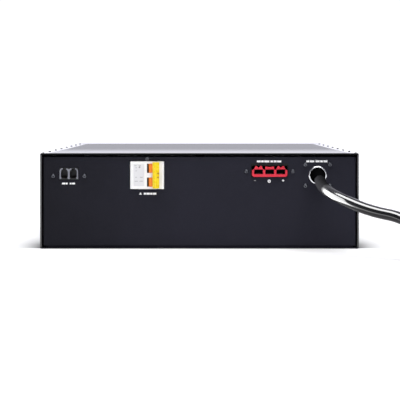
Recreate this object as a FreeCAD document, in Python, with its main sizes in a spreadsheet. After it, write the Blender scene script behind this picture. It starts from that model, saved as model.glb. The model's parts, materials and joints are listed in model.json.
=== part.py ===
import FreeCAD, Part
import math
import os
import re
import Sketcher

# External battery module for a rack or tower power supply, three rack units high.
# Millimetres. Z is up, X is across the width and Y runs from the rear panel (negative)
# to the front bezel (positive). The origin is the centre of the base's underside.

os.makedirs("parts", exist_ok=True)
doc = FreeCAD.newDocument("battery_module")
Vector = FreeCAD.Vector

# Driving dimensions
SIZES = {
    # Chassis sheet metal
    "chassis_height": 131.0,
    "rear_bay_length": 86.1,
    "sheet_gauge": 1.2,
    "bend_radius": 2.0,
    "fit_gap": 0.3,
    "base_flange_height": 16.0,
    "rim_depth": 9.0,
    "rim_overhang": 3.0,
    "panel_side_gap": 1.8,
    "panel_top_gap": 2.8,
    "panel_base_gap": 2.2,
    "panel_flange_depth": 14.0,
    "upstand_inset": 3.0,
    "frame_flange_depth": 12.0,
    "frame_top_strip": 14.0,
    "hem_merge": 0.4,
    "divider_headroom": 24.0,
    "divider_foot": 5.5,
    # Rack ear holes in the cover's sides
    "ear_hole_radius": 2.1,
    "ear_pitch_along": 30.0,
    "ear_pitch_up": 70.0,
    "ear_inset": 25.0,
    "ear_height": 65.0,
    # Cover screws
    "cover_screw_height": 9.0,
    "cover_screw_inset": 60.0,
    # Rivets along the cover's side edges
    "rivet_radius": 1.8,
    "rivet_height": 1.0,
    "rivet_edge": 3.8,
    "rivet_first": 5.0,
    "rivet_count": 8.0,
    # Front bezel
    "bezel_depth": 30.0,
    "bezel_wall": 2.5,
    "bezel_edge_radius": 6.0,
    "louvre_middle_gap": 30.0,
    "louvre_side_gap": 39.0,
    "louvre_height": 4.0,
    "louvre_depth": 1.5,
    "louvre_pitch": 9.0,
    "louvre_count": 9.0,
    "peg_radius": 3.0,
    "peg_reach": 4.0,
    "peg_clearance": 0.15,
    "peg_inner_offset": 60.0,
    "peg_inset": 39.0,
    "peg_drop": 4.2,
    # Batteries and their drawers
    "battery_length": 151.0,
    "battery_width": 65.0,
    "battery_height": 94.0,
    "battery_bevel": 1.6,
    "battery_gap": 0.5,
    "well_side": 13.0,
    "well_depth": 3.0,
    "well_inset": 10.5,
    "tab_width": 6.3,
    "tab_thickness": 0.8,
    "tab_height": 8.5,
    "drawer_middle_gap": 7.8,
    "drawer_side_gap": 10.8,
    "drawer_play": 1.0,
    "drawer_wall_height": 40.0,
    "drawer_face_lap": 3.0,
    "drawer_face_headroom": 9.2,
    "drawer_screw_inset": 14.0,
    "drawer_screw_drop": 3.2,
    "pull_width": 70.0,
    "pull_reach": 14.0,
    "pull_height": 34.0,
    "strap_thickness": 1.5,
    "strap_overhang": 3.0,
    # Rear panel screws
    "screw_radius": 1.5,
    "screw_hole_radius": 1.6,
    "screw_length": 7.0,
    "head_radius": 2.9,
    "head_height": 1.9,
    "head_chamfer": 0.6,
    "drive_length": 3.4,
    "drive_width": 0.8,
    "drive_depth": 1.0,
    # Signal sockets
    "jack_inset": 39.4,
    "jack_drop": 28.4,
    "jack_width": 26.0,
    "jack_height": 15.8,
    "jack_depth": 17.0,
    "jack_proud": 0.8,
    "jack_pitch": 12.6,
    "jack_mouth_width": 9.9,
    "jack_mouth_height": 10.5,
    "jack_mouth_slope": 2.4,
    "jack_mouth_depth": 12.0,
    "jack_mouth_rise": -0.85,
    "jack_key_width": 4.4,
    "jack_key_height": 2.5,
    "jack_clearance": 0.3,
    "jack_screw_pitch": 43.0,
    "jack_screw_drop": 3.2,
    "jack_pin_pitch": 1.27,
    "jack_pin_width": 0.45,
    "jack_pin_rise": 3.2,
    "jack_pin_root": 2.0,
    "jack_pin_thickness": 0.6,
    "jack_pin_setback": 1.2,
    "jack_bracket_width": 52.0,
    "jack_bracket_rise": 2.0,
    "board_width": 48.0,
    "board_length": 36.0,
    "board_thickness": 1.6,
    "board_boss_height": 2.0,
    "board_boss_radius": 2.6,
    "board_boss_inset": 5.0,
    "board_boss_front": 8.0,
    "board_boss_back": 6.0,
    # Circuit breaker
    "jack_to_breaker": 107.7,
    "breaker_drop": 30.4,
    "nose_width": 46.4,
    "nose_proud": 2.5,
    "nose_step": 16.0,
    "nose_corner": 1.2,
    "pole_width": 18.9,
    "pole_length": 83.0,
    "rail_face_depth": 60.0,
    "hook_depth": 4.0,
    "hook_lip": 2.0,
    "window_clearance": 0.8,
    "window_corner": 2.4,
    "hub_offset": 6.4,
    "hub_depth": 2.2,
    "hub_radius": 4.4,
    "slot_half_length": 6.7,
    "slot_width": 12.5,
    "lever_side_gap": 0.3,
    "lever_thickness": 3.4,
    "lever_reach": 10.6,
    "lever_lean": 38.0,
    "trunnion_radius": 1.2,
    "trunnion_clearance": 0.05,
    "trunnion_length": 1.5,
    "bar_near": 6.9,
    "bar_thickness": 6.0,
    "bar_width": 8.0,
    "bar_length": 36.0,
    "bar_round": 1.4,
    "bar_socket_play": 0.05,
    "clamp_well_radius": 3.2,
    "clamp_well_depth": 9.0,
    "clamp_well_inset": 8.5,
    "wire_door_width": 9.0,
    "wire_door_height": 9.0,
    "wire_door_depth": 7.0,
    "wire_door_place": 33.0,
    "rail_width": 35.0,
    "rail_hat_width": 27.0,
    "rail_depth": 7.5,
    "rail_thickness": 1.0,
    "bracket_half_height": 20.6,
    "bracket_width": 24.0,
    "bracket_tab": 4.6,
    "breaker_screw_rise": 22.8,
    # Output connector
    "output_to_gland": 66.1,
    "output_drop": 25.2,
    "output_width": 48.6,
    "output_height": 14.8,
    "output_proud": 3.5,
    "output_depth": 30.0,
    "output_chamfer": 2.2,
    "output_clearance": 0.3,
    "output_window_width": 51.4,
    "output_window_low": 8.2,
    "output_window_high": 11.1,
    "cell_pitch": 15.3,
    "cell_width": 11.4,
    "cell_height": 5.5,
    "cell_depth": 16.0,
    "cell_drop": 0.85,
    "hood_length": 13.4,
    "hood_rise": 4.9,
    "hood_slope": 2.5,
    "hood_flat": 1.8,
    "hood_notch_depth": 2.4,
    "hood_middle_length": 12.2,
    "hood_middle_dip": 1.5,
    "hood_shelf": 0.7,
    "tooth_width": 1.8,
    "tooth_height": 1.1,
    "tooth_depth": 3.0,
    "blade_width": 6.4,
    "blade_thickness": 1.2,
    "blade_tail": 6.0,
    "output_bracket_width": 76.0,
    "output_bracket_height": 24.0,
    "output_screw_pitch": 64.0,
    # Cable gland
    "gland_inset": 56.5,
    "gland_drop": 30.4,
    "ring_outer_radius": 12.8,
    "ring_inner_radius": 9.2,
    "ring_proud": 3.0,
    "ring_bevel": 1.0,
    "barrel_radius": 11.2,
    "barrel_length": 8.0,
    "barrel_clearance": 0.2,
    "bush_recess": 1.0,
    "bush_length": 13.0,
    "bush_flange_radius": 10.6,
    "clamp_plate_width": 42.0,
    "clamp_plate_height": 37.0,
    "gland_pitch_across": 33.8,
    "gland_pitch_up": 29.2,
    # Fuse block and earth stud
    "bay_setback": 18.0,
    "output_to_fuses": 56.4,
    "fuse_block_width": 64.0,
    "fuse_block_length": 34.0,
    "fuse_block_height": 24.0,
    "fuse_radius": 7.0,
    "fuse_length": 44.0,
    "fuse_pitch": 16.0,
    "gland_to_stud": 22.5,
    "stud_radius": 2.5,
    "stud_height": 18.0,
    "stud_nut_radius": 4.6,
    "stud_nut_height": 4.0,
    # The free cord and its plug
    "cord_diameter": 15.0,
    "cord_floor_gap": 0.3,
    "coil_radius": 82.0,
    "coil_centre_x": 372.0,
    "coil_centre_out": 128.0,
    "crest_angle": 150.0,
    "crest_rise": 14.0,
    "crest_inset": 3.0,
    "tail_drift": 2.0,
    "tail_reach": 100.0,
    "plug_length": 50.0,
    "plug_neck_radius": 7.6,
    "plug_neck_length": 16.0,
}

# Sizes and places that follow from them: the chassis is laid out round its batteries
DERIVED = {
    "drawer_inner": "3 * battery_width + 2 * battery_gap + 2 * drawer_play",
    "drawer_outer": "drawer_inner + 2 * sheet_gauge",
    "drawer_length": "3 * battery_length + battery_width + 3 * battery_gap + 2 * drawer_play"
                     " + 2 * sheet_gauge",
    "drawer_offset": "drawer_middle_gap + drawer_outer / 2",
    "chassis_width": "2 * (drawer_middle_gap + drawer_outer + drawer_side_gap)",
    "chassis_length": "drawer_length + rear_bay_length",
    "divider_height": "chassis_height - divider_headroom",
    "louvre_length": "chassis_width / 2 - louvre_middle_gap - louvre_side_gap",
    "louvre_field_offset": "louvre_middle_gap + louvre_length / 2",
    "jack_centre_x": "jack_inset - chassis_width / 2",
    "jack_centre_z": "chassis_height - jack_drop",
    "breaker_centre_x": "jack_centre_x + jack_to_breaker",
    "breaker_centre_z": "chassis_height - breaker_drop",
    "gland_centre_x": "chassis_width / 2 - gland_inset",
    "gland_centre_z": "chassis_height - gland_drop",
    "output_centre_x": "gland_centre_x - output_to_gland",
    "output_centre_z": "chassis_height - output_drop",
    "blade_length": "output_depth + blade_tail",
    "drawer_screw_length": "2 * sheet_gauge + drawer_play - fit_gap",
    "rivet_pitch": "(chassis_length - 2 * rivet_first) / (rivet_count - 1)",
    "fuse_block_x": "output_centre_x - output_to_fuses",
    "stud_x": "gland_centre_x - gland_to_stud",
    "cord_rest": "cord_diameter / 2 + cord_floor_gap",
    "plug_seat_x": "coil_centre_x + coil_radius + tail_drift",
}

sheet = doc.addObject("Spreadsheet::Sheet", "dims")
for row, (alias, size) in enumerate(SIZES.items(), start=1):
    sheet.set(f"A{row}", alias)
    sheet.set(f"B{row}", str(size))
    sheet.setAlias(f"B{row}", alias)
doc.recompute()

# Places that several pieces share, as formulas of the driving dimensions
REAR_EDGE = "(-chassis_length / 2)"
FRONT_EDGE = "(chassis_length / 2)"
REAR_FACE = "(-chassis_length / 2 + rim_overhang)"
REAR_INNER = "(-chassis_length / 2 + rim_overhang + sheet_gauge)"
COVER_INNER = "(chassis_width / 2 - sheet_gauge)"
BASE_OUTER = "(chassis_width / 2 - sheet_gauge - fit_gap)"
BASE_INNER = "(chassis_width / 2 - 2 * sheet_gauge - fit_gap)"
PANEL_HALF = "(chassis_width / 2 - 2 * sheet_gauge - panel_side_gap)"
PANEL_LOW = "(sheet_gauge + panel_base_gap)"
PANEL_HIGH = "(chassis_height - 2 * sheet_gauge - panel_top_gap)"
FRAME_HALF = "(chassis_width / 2 - 2 * sheet_gauge - 2 * fit_gap)"
FRAME_HIGH = "(chassis_height - sheet_gauge - fit_gap)"
FACE_LOW = "(bezel_wall + fit_gap)"
FACE_TOP = "(chassis_height - drawer_face_headroom)"
BATTERY_FRONT = "(chassis_length / 2 - sheet_gauge - drawer_play)"
DRAWER_FLOOR = "(2 * sheet_gauge)"
TERMINAL_TOP = "(2 * sheet_gauge + battery_height - well_depth + tab_height)"
NOSE_FACE = "(-chassis_length / 2 + rim_overhang - nose_proud)"
HUB_X = "(breaker_centre_x + hub_offset)"
HUB_Y = "(-chassis_length / 2 + rim_overhang - nose_proud + hub_depth)"
RAIL_FACE = "(-chassis_length / 2 + rim_overhang - nose_proud + rail_face_depth)"
BOARD_TOP = "(jack_centre_z - jack_height / 2)"
COIL_Y = "(-chassis_length / 2 + rim_overhang - coil_centre_out)"


def spelled(formula, prefix=""):
    """The same formula in driving dimensions alone, each with the prefix."""
    def word(match):
        name = match.group(0)
        if name in DERIVED:
            return "(" + spelled(DERIVED[name], prefix) + ")"
        return prefix + name if name in SIZES else name
    return re.sub(r"[a-z_]+", word, formula)


def value(formula):
    return float(sheet.evalExpression(spelled(formula)))


def bind(thing, slot, formula):
    thing.setExpression(slot, spelled(formula, "dims."))


def put(thing, x="0", y="0", z="0", axis=None, angle=None):
    """Places a piece; an axis and an angle in degrees turn it first."""
    if axis:
        thing.Placement = FreeCAD.Placement(Vector(), FreeCAD.Rotation(axis, value(angle)))
        if angle in SIZES:
            bind(thing, "Placement.Rotation.Angle", angle)
    for letter, formula in zip("xyz", (x, y, z)):
        bind(thing, "Placement.Base." + letter, formula)


def new_body(name, x="0", y="0", z="0", axis=None, angle=None):
    piece = doc.addObject("PartDesign::Body", name)
    piece.Label = name
    put(piece, x, y, z, axis, angle)
    return piece


def sketch(piece, role, x="0", y="0", z="0"):
    """A sketch on one of the piece's own planes, its zero moved to x, y, z."""
    flat = next(f for f in piece.Origin.OriginFeatures if f.Role == role)
    drawing = piece.newObject("Sketcher::SketchObject", piece.Label + "_sketch")
    drawing.AttachmentSupport = [(flat, "")]
    drawing.MapMode = "FlatFace"
    order = {
        "XY_Plane": (x, y, z),
        "XZ_Plane": (x, z, f"-({y})"),
        "YZ_Plane": (y, z, x),
    }[role]
    for letter, formula in zip("xyz", order):
        bind(drawing, "AttachmentOffset.Base." + letter, formula)
    return drawing


def dimension(drawing, name, formula, kind, *ends):
    index = drawing.addConstraint(Sketcher.Constraint(kind, *ends, value(formula)))
    drawing.renameConstraint(index, name)
    bind(drawing, "Constraints." + name, formula)


def outline(drawing, corners):
    """A closed outline of straight edges through corners given as formulas."""
    points = [Vector(value(across), value(up), 0) for across, up in corners]
    count = len(points)
    first = drawing.GeometryCount
    for index in range(count):
        drawing.addGeometry(Part.LineSegment(points[index], points[(index + 1) % count]), False)
    for index in range(count):
        after = first + (index + 1) % count
        drawing.addConstraint(Sketcher.Constraint("Coincident", first + index, 2, after, 1))
    for index, (across, up) in enumerate(corners):
        edge = first + index
        dimension(drawing, f"across{edge}", across, "DistanceX", -1, 1, edge, 1)
        dimension(drawing, f"up{edge}", up, "DistanceY", -1, 1, edge, 1)
    return drawing


def rectangle(drawing, wide, high, across="0", up="0"):
    """A rectangle with its centre at across, up."""
    left = f"({across}) - ({wide}) / 2"
    right = f"({across}) + ({wide}) / 2"
    low = f"({up}) - ({high}) / 2"
    top = f"({up}) + ({high}) / 2"
    return outline(drawing, [(left, low), (right, low), (right, top), (left, top)])


def polygon(drawing, radius, sides, across="0", up="0"):
    """An even polygon whose flats face along both axes, with its corners on the radius."""
    corners = []
    for index in range(sides):
        angle = math.pi * (2 * index + 1) / sides
        corners.append((f"{across} + {radius} * ({math.cos(angle):.6f})",
                        f"{up} + {radius} * ({math.sin(angle):.6f})"))
    return outline(drawing, corners)


def circles(drawing, radius, places=(("0", "0"),)):
    for across, up in places:
        index = drawing.GeometryCount
        centre = Vector(value(across), value(up), 0)
        drawing.addGeometry(Part.Circle(centre, Vector(0, 0, 1), value(radius)), False)
        dimension(drawing, f"across{index}", across, "DistanceX", -1, 1, index, 3)
        dimension(drawing, f"up{index}", up, "DistanceY", -1, 1, index, 3)
        dimension(drawing, f"radius{index}", radius, "Radius", index)
    return drawing


def pad(piece, drawing, length, backward=False):
    feature = piece.newObject("PartDesign::Pad", piece.Label + "_pad")
    feature.Profile = drawing
    bind(feature, "Length", length)
    feature.Reversed = backward
    drawing.Visibility = False
    return feature


def pocket(piece, drawing, depth, backward=False):
    """Cuts away from the drawing's normal, and proves that something was cut."""
    doc.recompute()
    before = piece.Shape.Volume
    feature = piece.newObject("PartDesign::Pocket", piece.Label + "_pocket")
    feature.Profile = drawing
    bind(feature, "Length", depth)
    feature.Reversed = backward
    drawing.Visibility = False
    doc.recompute()
    if not piece.Shape.Volume < before:
        raise ValueError("a pocket cut nothing in " + piece.Label)
    return feature


def dress(piece, kind, size_name, size, test):
    """Rounds or bevels the tip's edges whose first and last vertex pass the test."""
    doc.recompute()
    base = piece.Tip
    names = []
    for index, edge in enumerate(base.Shape.Edges, start=1):
        if test(edge.Vertexes[0].Point, edge.Vertexes[-1].Point):
            names.append(f"Edge{index}")
    if not names:
        raise ValueError("no edge to dress on " + piece.Label)
    feature = piece.newObject("PartDesign::" + kind, piece.Label + "_" + kind.lower())
    feature.Base = (base, names)
    bind(feature, size_name, size)
    doc.recompute()
    return feature


def fillet(piece, radius, test):
    return dress(piece, "Fillet", "Radius", radius, test)


def dress_rims(piece, kind, size_name, size, place):
    """Dresses every edge that lies in the plane Y = place."""
    level = value(place)
    return dress(piece, kind, size_name, size, lambda a, b: near(a.y, level) and near(b.y, level))


def near(a, b):
    return abs(a - b) < SAME_PLACE


def group(name, master, places):
    """Copies of one master piece as separate solids that share a node."""
    links = []
    for index, place in enumerate(places, start=1):
        link = doc.addObject("App::Link", f"{name}_{index}")
        link.LinkedObject = master
        put(link, *place)
        links.append(link)
    together = doc.addObject("Part::Compound", name)
    together.Label = name
    together.Links = links
    return together


def feature(name, shape):
    piece = doc.addObject("Part::Feature", name)
    piece.Label = name
    piece.Shape = shape
    piece.Placement = FreeCAD.Placement()
    return piece


SIDES = (("left", "-"), ("right", ""))
COLUMNS = (-1, 0, 1)
SAME_PLACE = 0.01
KEPT = []


def keep(*pieces):
    KEPT.extend(pieces)


# Base: a folded tray with side flanges inside the cover and an upstand behind the rear panel
def build_base():
    piece = new_body("base_tray")
    profile = sketch(piece, "XZ_Plane", y=FRONT_EDGE)
    outline(profile, [
        (f"-{BASE_OUTER}", "0"),
        (BASE_OUTER, "0"),
        (BASE_OUTER, "base_flange_height"),
        (BASE_INNER, "base_flange_height"),
        (BASE_INNER, "sheet_gauge"),
        (f"-{BASE_INNER}", "sheet_gauge"),
        (f"-{BASE_INNER}", "base_flange_height"),
        (f"-{BASE_OUTER}", "base_flange_height"),
    ])
    pad(piece, profile, "chassis_length")
    edge = value(BASE_OUTER)
    fillet(piece, "sheet_gauge * 0.8", lambda a, b: near(a.z, 0) and near(b.z, 0)
           and near(abs(a.x), edge) and near(a.x, b.x))
    relief = sketch(piece, "XY_Plane", z="base_flange_height + fit_gap")
    for sign in ("-", ""):
        rectangle(relief, "sheet_gauge + 2 * fit_gap", "rim_depth + 2 * fit_gap",
                  f"{sign}({BASE_OUTER} - sheet_gauge / 2)", f"{REAR_EDGE} + rim_depth / 2")
    pocket(piece, relief, "base_flange_height + fit_gap - sheet_gauge")
    upstand = sketch(piece, "XZ_Plane", y=f"{REAR_INNER} + sheet_gauge")
    rectangle(upstand, f"2 * ({PANEL_HALF} - sheet_gauge - upstand_inset)", "base_flange_height",
              "0", "base_flange_height / 2")
    pad(piece, upstand, "sheet_gauge")
    holes = sketch(piece, "YZ_Plane", x=f"{BASE_OUTER} + fit_gap")
    circles(holes, "screw_hole_radius", cover_screw_spots())
    pocket(piece, holes, f"2 * {BASE_OUTER} + 2 * fit_gap")
    keep(piece)


def cover_screw_spots():
    height = "cover_screw_height"
    return [
        (f"{REAR_EDGE} + cover_screw_inset", height),
        ("0", height),
        (f"{FRONT_EDGE} - cover_screw_inset", height),
    ]


# Cover: one wrap over the top and both sides, with a folded hem round its rear rim
def build_cover():
    piece = new_body("top_cover")
    profile = sketch(piece, "XZ_Plane", y=FRONT_EDGE)
    outer = "(chassis_width / 2)"
    under = "(chassis_height - sheet_gauge)"
    outline(profile, [
        (f"-{outer}", "fit_gap"),
        (f"-{COVER_INNER}", "fit_gap"),
        (f"-{COVER_INNER}", under),
        (COVER_INNER, under),
        (COVER_INNER, "fit_gap"),
        (outer, "fit_gap"),
        (outer, "chassis_height"),
        (f"-{outer}", "chassis_height"),
    ])
    pad(piece, profile, "chassis_length")
    half, top = value(outer), value("chassis_height")
    fillet(piece, "bend_radius", lambda a, b: near(abs(a.x), half) and near(a.z, top)
           and near(a.x, b.x) and near(b.z, top))
    inner, ceiling = value(COVER_INNER), value(under)
    fillet(piece, "bend_radius - sheet_gauge", lambda a, b: near(abs(a.x), inner)
           and near(a.z, ceiling) and near(a.x, b.x) and near(b.z, ceiling))
    hem = sketch(piece, "XZ_Plane", y=f"{REAR_EDGE} + rim_depth")
    fold = f"({COVER_INNER} - sheet_gauge)"
    low = "sheet_gauge + fit_gap"
    outline(hem, [
        (f"-{COVER_INNER} - hem_merge", low),
        (f"-{fold}", low),
        (f"-{fold}", f"{under} - sheet_gauge"),
        (fold, f"{under} - sheet_gauge"),
        (fold, low),
        (f"{COVER_INNER} + hem_merge", low),
        (f"{COVER_INNER} + hem_merge", f"{under} + hem_merge"),
        (f"-{COVER_INNER} - hem_merge", f"{under} + hem_merge"),
    ])
    pad(piece, hem, "rim_depth")
    rear = value(REAR_EDGE)
    bend = value("bend_radius") + SAME_PLACE

    def outer_rim(a, b):
        if not (near(a.y, rear) and near(b.y, rear)):
            return False
        over = near(a.z, top) and near(b.z, top)
        beside = near(abs(a.x), half) and near(a.x, b.x)
        corner = (min(a.z, b.z) > top - bend and max(a.z, b.z) > top - SAME_PLACE
                  and max(abs(a.x), abs(b.x)) > half - SAME_PLACE)
        return over or beside or corner

    fillet(piece, "sheet_gauge * 0.7", outer_rim)
    screws = sketch(piece, "YZ_Plane", x=f"{outer} + fit_gap")
    circles(screws, "screw_hole_radius", cover_screw_spots())
    pocket(piece, screws, "chassis_width + 2 * fit_gap")
    ears = sketch(piece, "YZ_Plane", x=f"{outer} + fit_gap")
    circles(ears, "ear_hole_radius", [
        (f"{FRONT_EDGE} - ear_inset - {along} * ear_pitch_along", f"ear_height + {up} * ear_pitch_up / 2")
        for along in (0, 1) for up in (-1, 1)
    ])
    pocket(piece, ears, "chassis_width + 2 * fit_gap")
    keep(piece)


# Rear panel: a plate with side flanges and one cut-out for each thing that it carries
def build_rear_panel():
    piece = new_body("rear_panel")
    height = f"({PANEL_HIGH} - {PANEL_LOW})"
    middle = f"(({PANEL_HIGH} + {PANEL_LOW}) / 2)"
    block = sketch(piece, "XZ_Plane", y=f"{REAR_FACE} + panel_flange_depth")
    rectangle(block, f"2 * {PANEL_HALF}", height, "0", middle)
    pad(piece, block, "panel_flange_depth")
    hollow = sketch(piece, "XZ_Plane", y=REAR_INNER)
    rectangle(hollow, f"2 * ({PANEL_HALF} - sheet_gauge)", f"{height} + 2 * fit_gap", "0", middle)
    pocket(piece, hollow, "panel_flange_depth")
    face, side = value(REAR_FACE), value(PANEL_HALF)
    fillet(piece, "sheet_gauge * 0.9", lambda a, b: near(a.y, face) and near(b.y, face)
           and near(abs(a.x), side) and near(a.x, b.x))
    fillet(piece, "sheet_gauge * 0.5", lambda a, b: near(a.y, face) and near(b.y, face)
           and near(a.z, b.z))
    start = f"{REAR_FACE} - fit_gap"
    through = "sheet_gauge + 2 * fit_gap"
    jack = sketch(piece, "XZ_Plane", y=start)
    rectangle(jack, "jack_width + 2 * jack_clearance", "jack_height + 2 * jack_clearance",
              "jack_centre_x", "jack_centre_z")
    pocket(piece, jack, through)
    breaker = sketch(piece, "XZ_Plane", y=start)
    window_half = "(nose_width / 2 + window_clearance)"
    rectangle(breaker, f"2 * {window_half}", "2 * (pole_width + window_clearance)",
              "breaker_centre_x", "breaker_centre_z")
    pocket(piece, breaker, through)
    low, high = value(f"breaker_centre_x - {window_half}"), value(f"breaker_centre_x + {window_half}")
    fillet(piece, "window_corner", lambda a, b: near(a.x, b.x) and near(a.z, b.z)
           and (near(a.x, low) or near(a.x, high)))
    output = sketch(piece, "XZ_Plane", y=start)
    rectangle(output, "output_window_width", "output_window_low + output_window_high",
              "output_centre_x", "output_centre_z + (output_window_high - output_window_low) / 2")
    pocket(piece, output, through)
    left = value("output_centre_x - output_window_width / 2")
    right = value("output_centre_x + output_window_width / 2")
    fillet(piece, "window_corner / 2", lambda a, b: near(a.x, b.x) and near(a.z, b.z)
           and (near(a.x, left) or near(a.x, right)))
    gland = sketch(piece, "XZ_Plane", y=start)
    circles(gland, "barrel_radius + barrel_clearance", [("gland_centre_x", "gland_centre_z")])
    pocket(piece, gland, through)
    holes = sketch(piece, "XZ_Plane", y=start)
    circles(holes, "screw_hole_radius", panel_screw_spots())
    pocket(piece, holes, through)
    keep(piece)


def jack_screw_spots():
    height = "jack_centre_z - jack_screw_drop"
    return [
        ("jack_centre_x - jack_screw_pitch / 2", height),
        ("jack_centre_x + jack_screw_pitch / 2", height),
    ]


def output_screw_spots():
    return [
        ("output_centre_x - output_screw_pitch / 2", "output_centre_z"),
        ("output_centre_x + output_screw_pitch / 2", "output_centre_z"),
    ]


def gland_screw_spots():
    return [
        (f"gland_centre_x {across} gland_pitch_across / 2", f"gland_centre_z {up} gland_pitch_up / 2")
        for across in ("-", "+") for up in ("-", "+")
    ]


def panel_screw_spots():
    breaker = [("breaker_centre_x", "breaker_centre_z + breaker_screw_rise")]
    return jack_screw_spots() + breaker + output_screw_spots() + gland_screw_spots()


# A pan-head screw with a cross recess: its head's seat is at zero and its shank runs along +Y.
# There are many of them, so their rounds have few faces
SHANK_SIDES = 6
HEAD_SIDES = 16


def build_screw(name, length):
    piece = new_body(name)
    shank = sketch(piece, "XZ_Plane", y=length)
    polygon(shank, "screw_radius", SHANK_SIDES)
    pad(piece, shank, length)
    head = sketch(piece, "XZ_Plane")
    polygon(head, "head_radius", HEAD_SIDES)
    pad(piece, head, "head_height")
    dress_rims(piece, "Chamfer", "Size", "head_chamfer", "-head_height")
    recess = sketch(piece, "XZ_Plane", y="-head_height")
    half, thin = "(drive_length / 2)", "(drive_width / 2)"
    outline(recess, [
        (thin, f"-{half}"), (thin, f"-{thin}"), (half, f"-{thin}"), (half, thin),
        (thin, thin), (thin, half), (f"-{thin}", half), (f"-{thin}", thin),
        (f"-{half}", thin), (f"-{half}", f"-{thin}"), (f"-{thin}", f"-{thin}"), (f"-{thin}", f"-{half}"),
    ])
    pocket(piece, recess, "drive_depth")
    return piece


# Low flat heads in a row on top along both side edges of the cover
RIVET_SIDES = 8


def build_rivets():
    master = new_body("rivet")
    head = sketch(master, "XY_Plane")
    polygon(head, "rivet_radius", RIVET_SIDES)
    pad(master, head, "rivet_height")
    dress(master, "Chamfer", "Size", "rivet_height / 2",
          lambda a, b: near(a.z, value("rivet_height")) and near(b.z, value("rivet_height")))
    keep(group("cover_rivets", master, [
        (f"{sign}(chassis_width / 2 - rivet_edge)",
         f"{REAR_EDGE} + rivet_first + {index} * rivet_pitch", "chassis_height")
        for _, sign in SIDES for index in range(int(SIZES["rivet_count"]))
    ]))


def build_screws():
    master = build_screw("screw", "screw_length")
    keep(group("panel_screws", master, [(x, REAR_FACE, z) for x, z in panel_screw_spots()]))
    up = Vector(0, 0, 1)
    sides = []
    for y, z in cover_screw_spots():
        sides.append(("-chassis_width / 2", y, z, up, "-90"))
        sides.append(("chassis_width / 2", y, z, up, "90"))
    keep(group("cover_screws", master, sides))
    short = build_screw("short_screw", "drawer_screw_length")
    face = f"{FRONT_EDGE} + sheet_gauge"
    keep(group("drawer_screws", short, [(x, face, z, up, "180") for x, z in drawer_screw_spots()]))


def drawer_screw_spots():
    height = f"{FACE_TOP} - drawer_screw_drop"
    return [
        (f"{sign}drawer_offset {edge} (drawer_outer / 2 - drawer_screw_inset)", height)
        for _, sign in SIDES for edge in ("-", "+")
    ]


# Front frame: it closes the chassis round the two drawer mouths
def build_front_frame():
    piece = new_body("front_frame")
    plate = sketch(piece, "XZ_Plane", y=FRONT_EDGE)
    rectangle(plate, f"2 * {FRAME_HALF}", f"{FRAME_HIGH} - sheet_gauge", "0",
              f"({FRAME_HIGH} + sheet_gauge) / 2")
    pad(piece, plate, "frame_flange_depth")
    hollow = sketch(piece, "XZ_Plane", y=f"{FRONT_EDGE} - frame_flange_depth - fit_gap")
    rectangle(hollow, f"2 * ({FRAME_HALF} - sheet_gauge)", "2 * chassis_height", "0", "0")
    pocket(piece, hollow, "frame_flange_depth + fit_gap - sheet_gauge")
    mouths = sketch(piece, "XZ_Plane", y=f"{FRONT_EDGE} - 2 * sheet_gauge")
    top = f"({FRAME_HIGH} - frame_top_strip)"
    for _, sign in SIDES:
        rectangle(mouths, "drawer_outer + 2 * fit_gap", top, f"{sign}drawer_offset", f"{top} / 2")
    pocket(piece, mouths, "3 * sheet_gauge")
    pegs = sketch(piece, "XZ_Plane", y=f"{FRONT_EDGE} - 2 * sheet_gauge")
    circles(pegs, "peg_radius + peg_clearance", peg_spots())
    circles(pegs, "screw_hole_radius", drawer_screw_spots())
    pocket(piece, pegs, "3 * sheet_gauge")
    keep(piece)


def peg_spots():
    height = f"{FRAME_HIGH} - peg_drop"
    return [
        (f"{sign}{offset}", height)
        for sign in ("-", "") for offset in ("(chassis_width / 2 - peg_inset)", "peg_inner_offset")
    ]


# Bezel: a moulded shell with two fields of blind louvres and four pegs that snap into the frame
def build_bezel():
    piece = new_body("front_bezel")
    nose = f"({FRONT_EDGE} + bezel_depth)"
    block = sketch(piece, "XZ_Plane", y=nose)
    rectangle(block, "chassis_width", "chassis_height", "0", "chassis_height / 2")
    pad(piece, block, "bezel_depth")
    half, top = value("chassis_width / 2"), value("chassis_height")
    front = value(nose)
    fillet(piece, "bezel_edge_radius", lambda a, b: near(a.y, front) and near(b.y, front))
    hollow = sketch(piece, "XZ_Plane", y=FRONT_EDGE)
    rectangle(hollow, "chassis_width - 2 * bezel_wall", "chassis_height - 2 * bezel_wall", "0",
              "chassis_height / 2")
    pocket(piece, hollow, "bezel_depth - bezel_wall - bezel_edge_radius")
    core = sketch(piece, "XZ_Plane", y=FRONT_EDGE)
    inset = "(bezel_wall + bezel_edge_radius)"
    rectangle(core, f"chassis_width - 2 * {inset}", f"chassis_height - 2 * {inset}", "0",
              "chassis_height / 2")
    pocket(piece, core, "bezel_depth - bezel_wall")
    louvres = sketch(piece, "XZ_Plane", y=nose)
    middle = "(louvre_count - 1) / 2"
    for sign in ("-", ""):
        rectangle(louvres, "louvre_length", "louvre_height", f"{sign}louvre_field_offset",
                  f"chassis_height / 2 - {middle} * louvre_pitch")
    cut = pocket(piece, louvres, "louvre_depth", backward=True)
    rows = piece.newObject("PartDesign::LinearPattern", "louvre_rows")
    rows.Originals = [cut]
    rows.Direction = (louvres, ["V_Axis"])
    bind(rows, "Length", "(louvre_count - 1) * louvre_pitch")
    bind(rows, "Occurrences", "louvre_count")
    piece.Tip = rows
    doc.recompute()
    pegs = sketch(piece, "XZ_Plane", y=f"{nose} - bezel_wall")
    circles(pegs, "peg_radius", peg_spots())
    pad(piece, pegs, "bezel_depth - bezel_wall + peg_reach")
    keep(piece)


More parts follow.
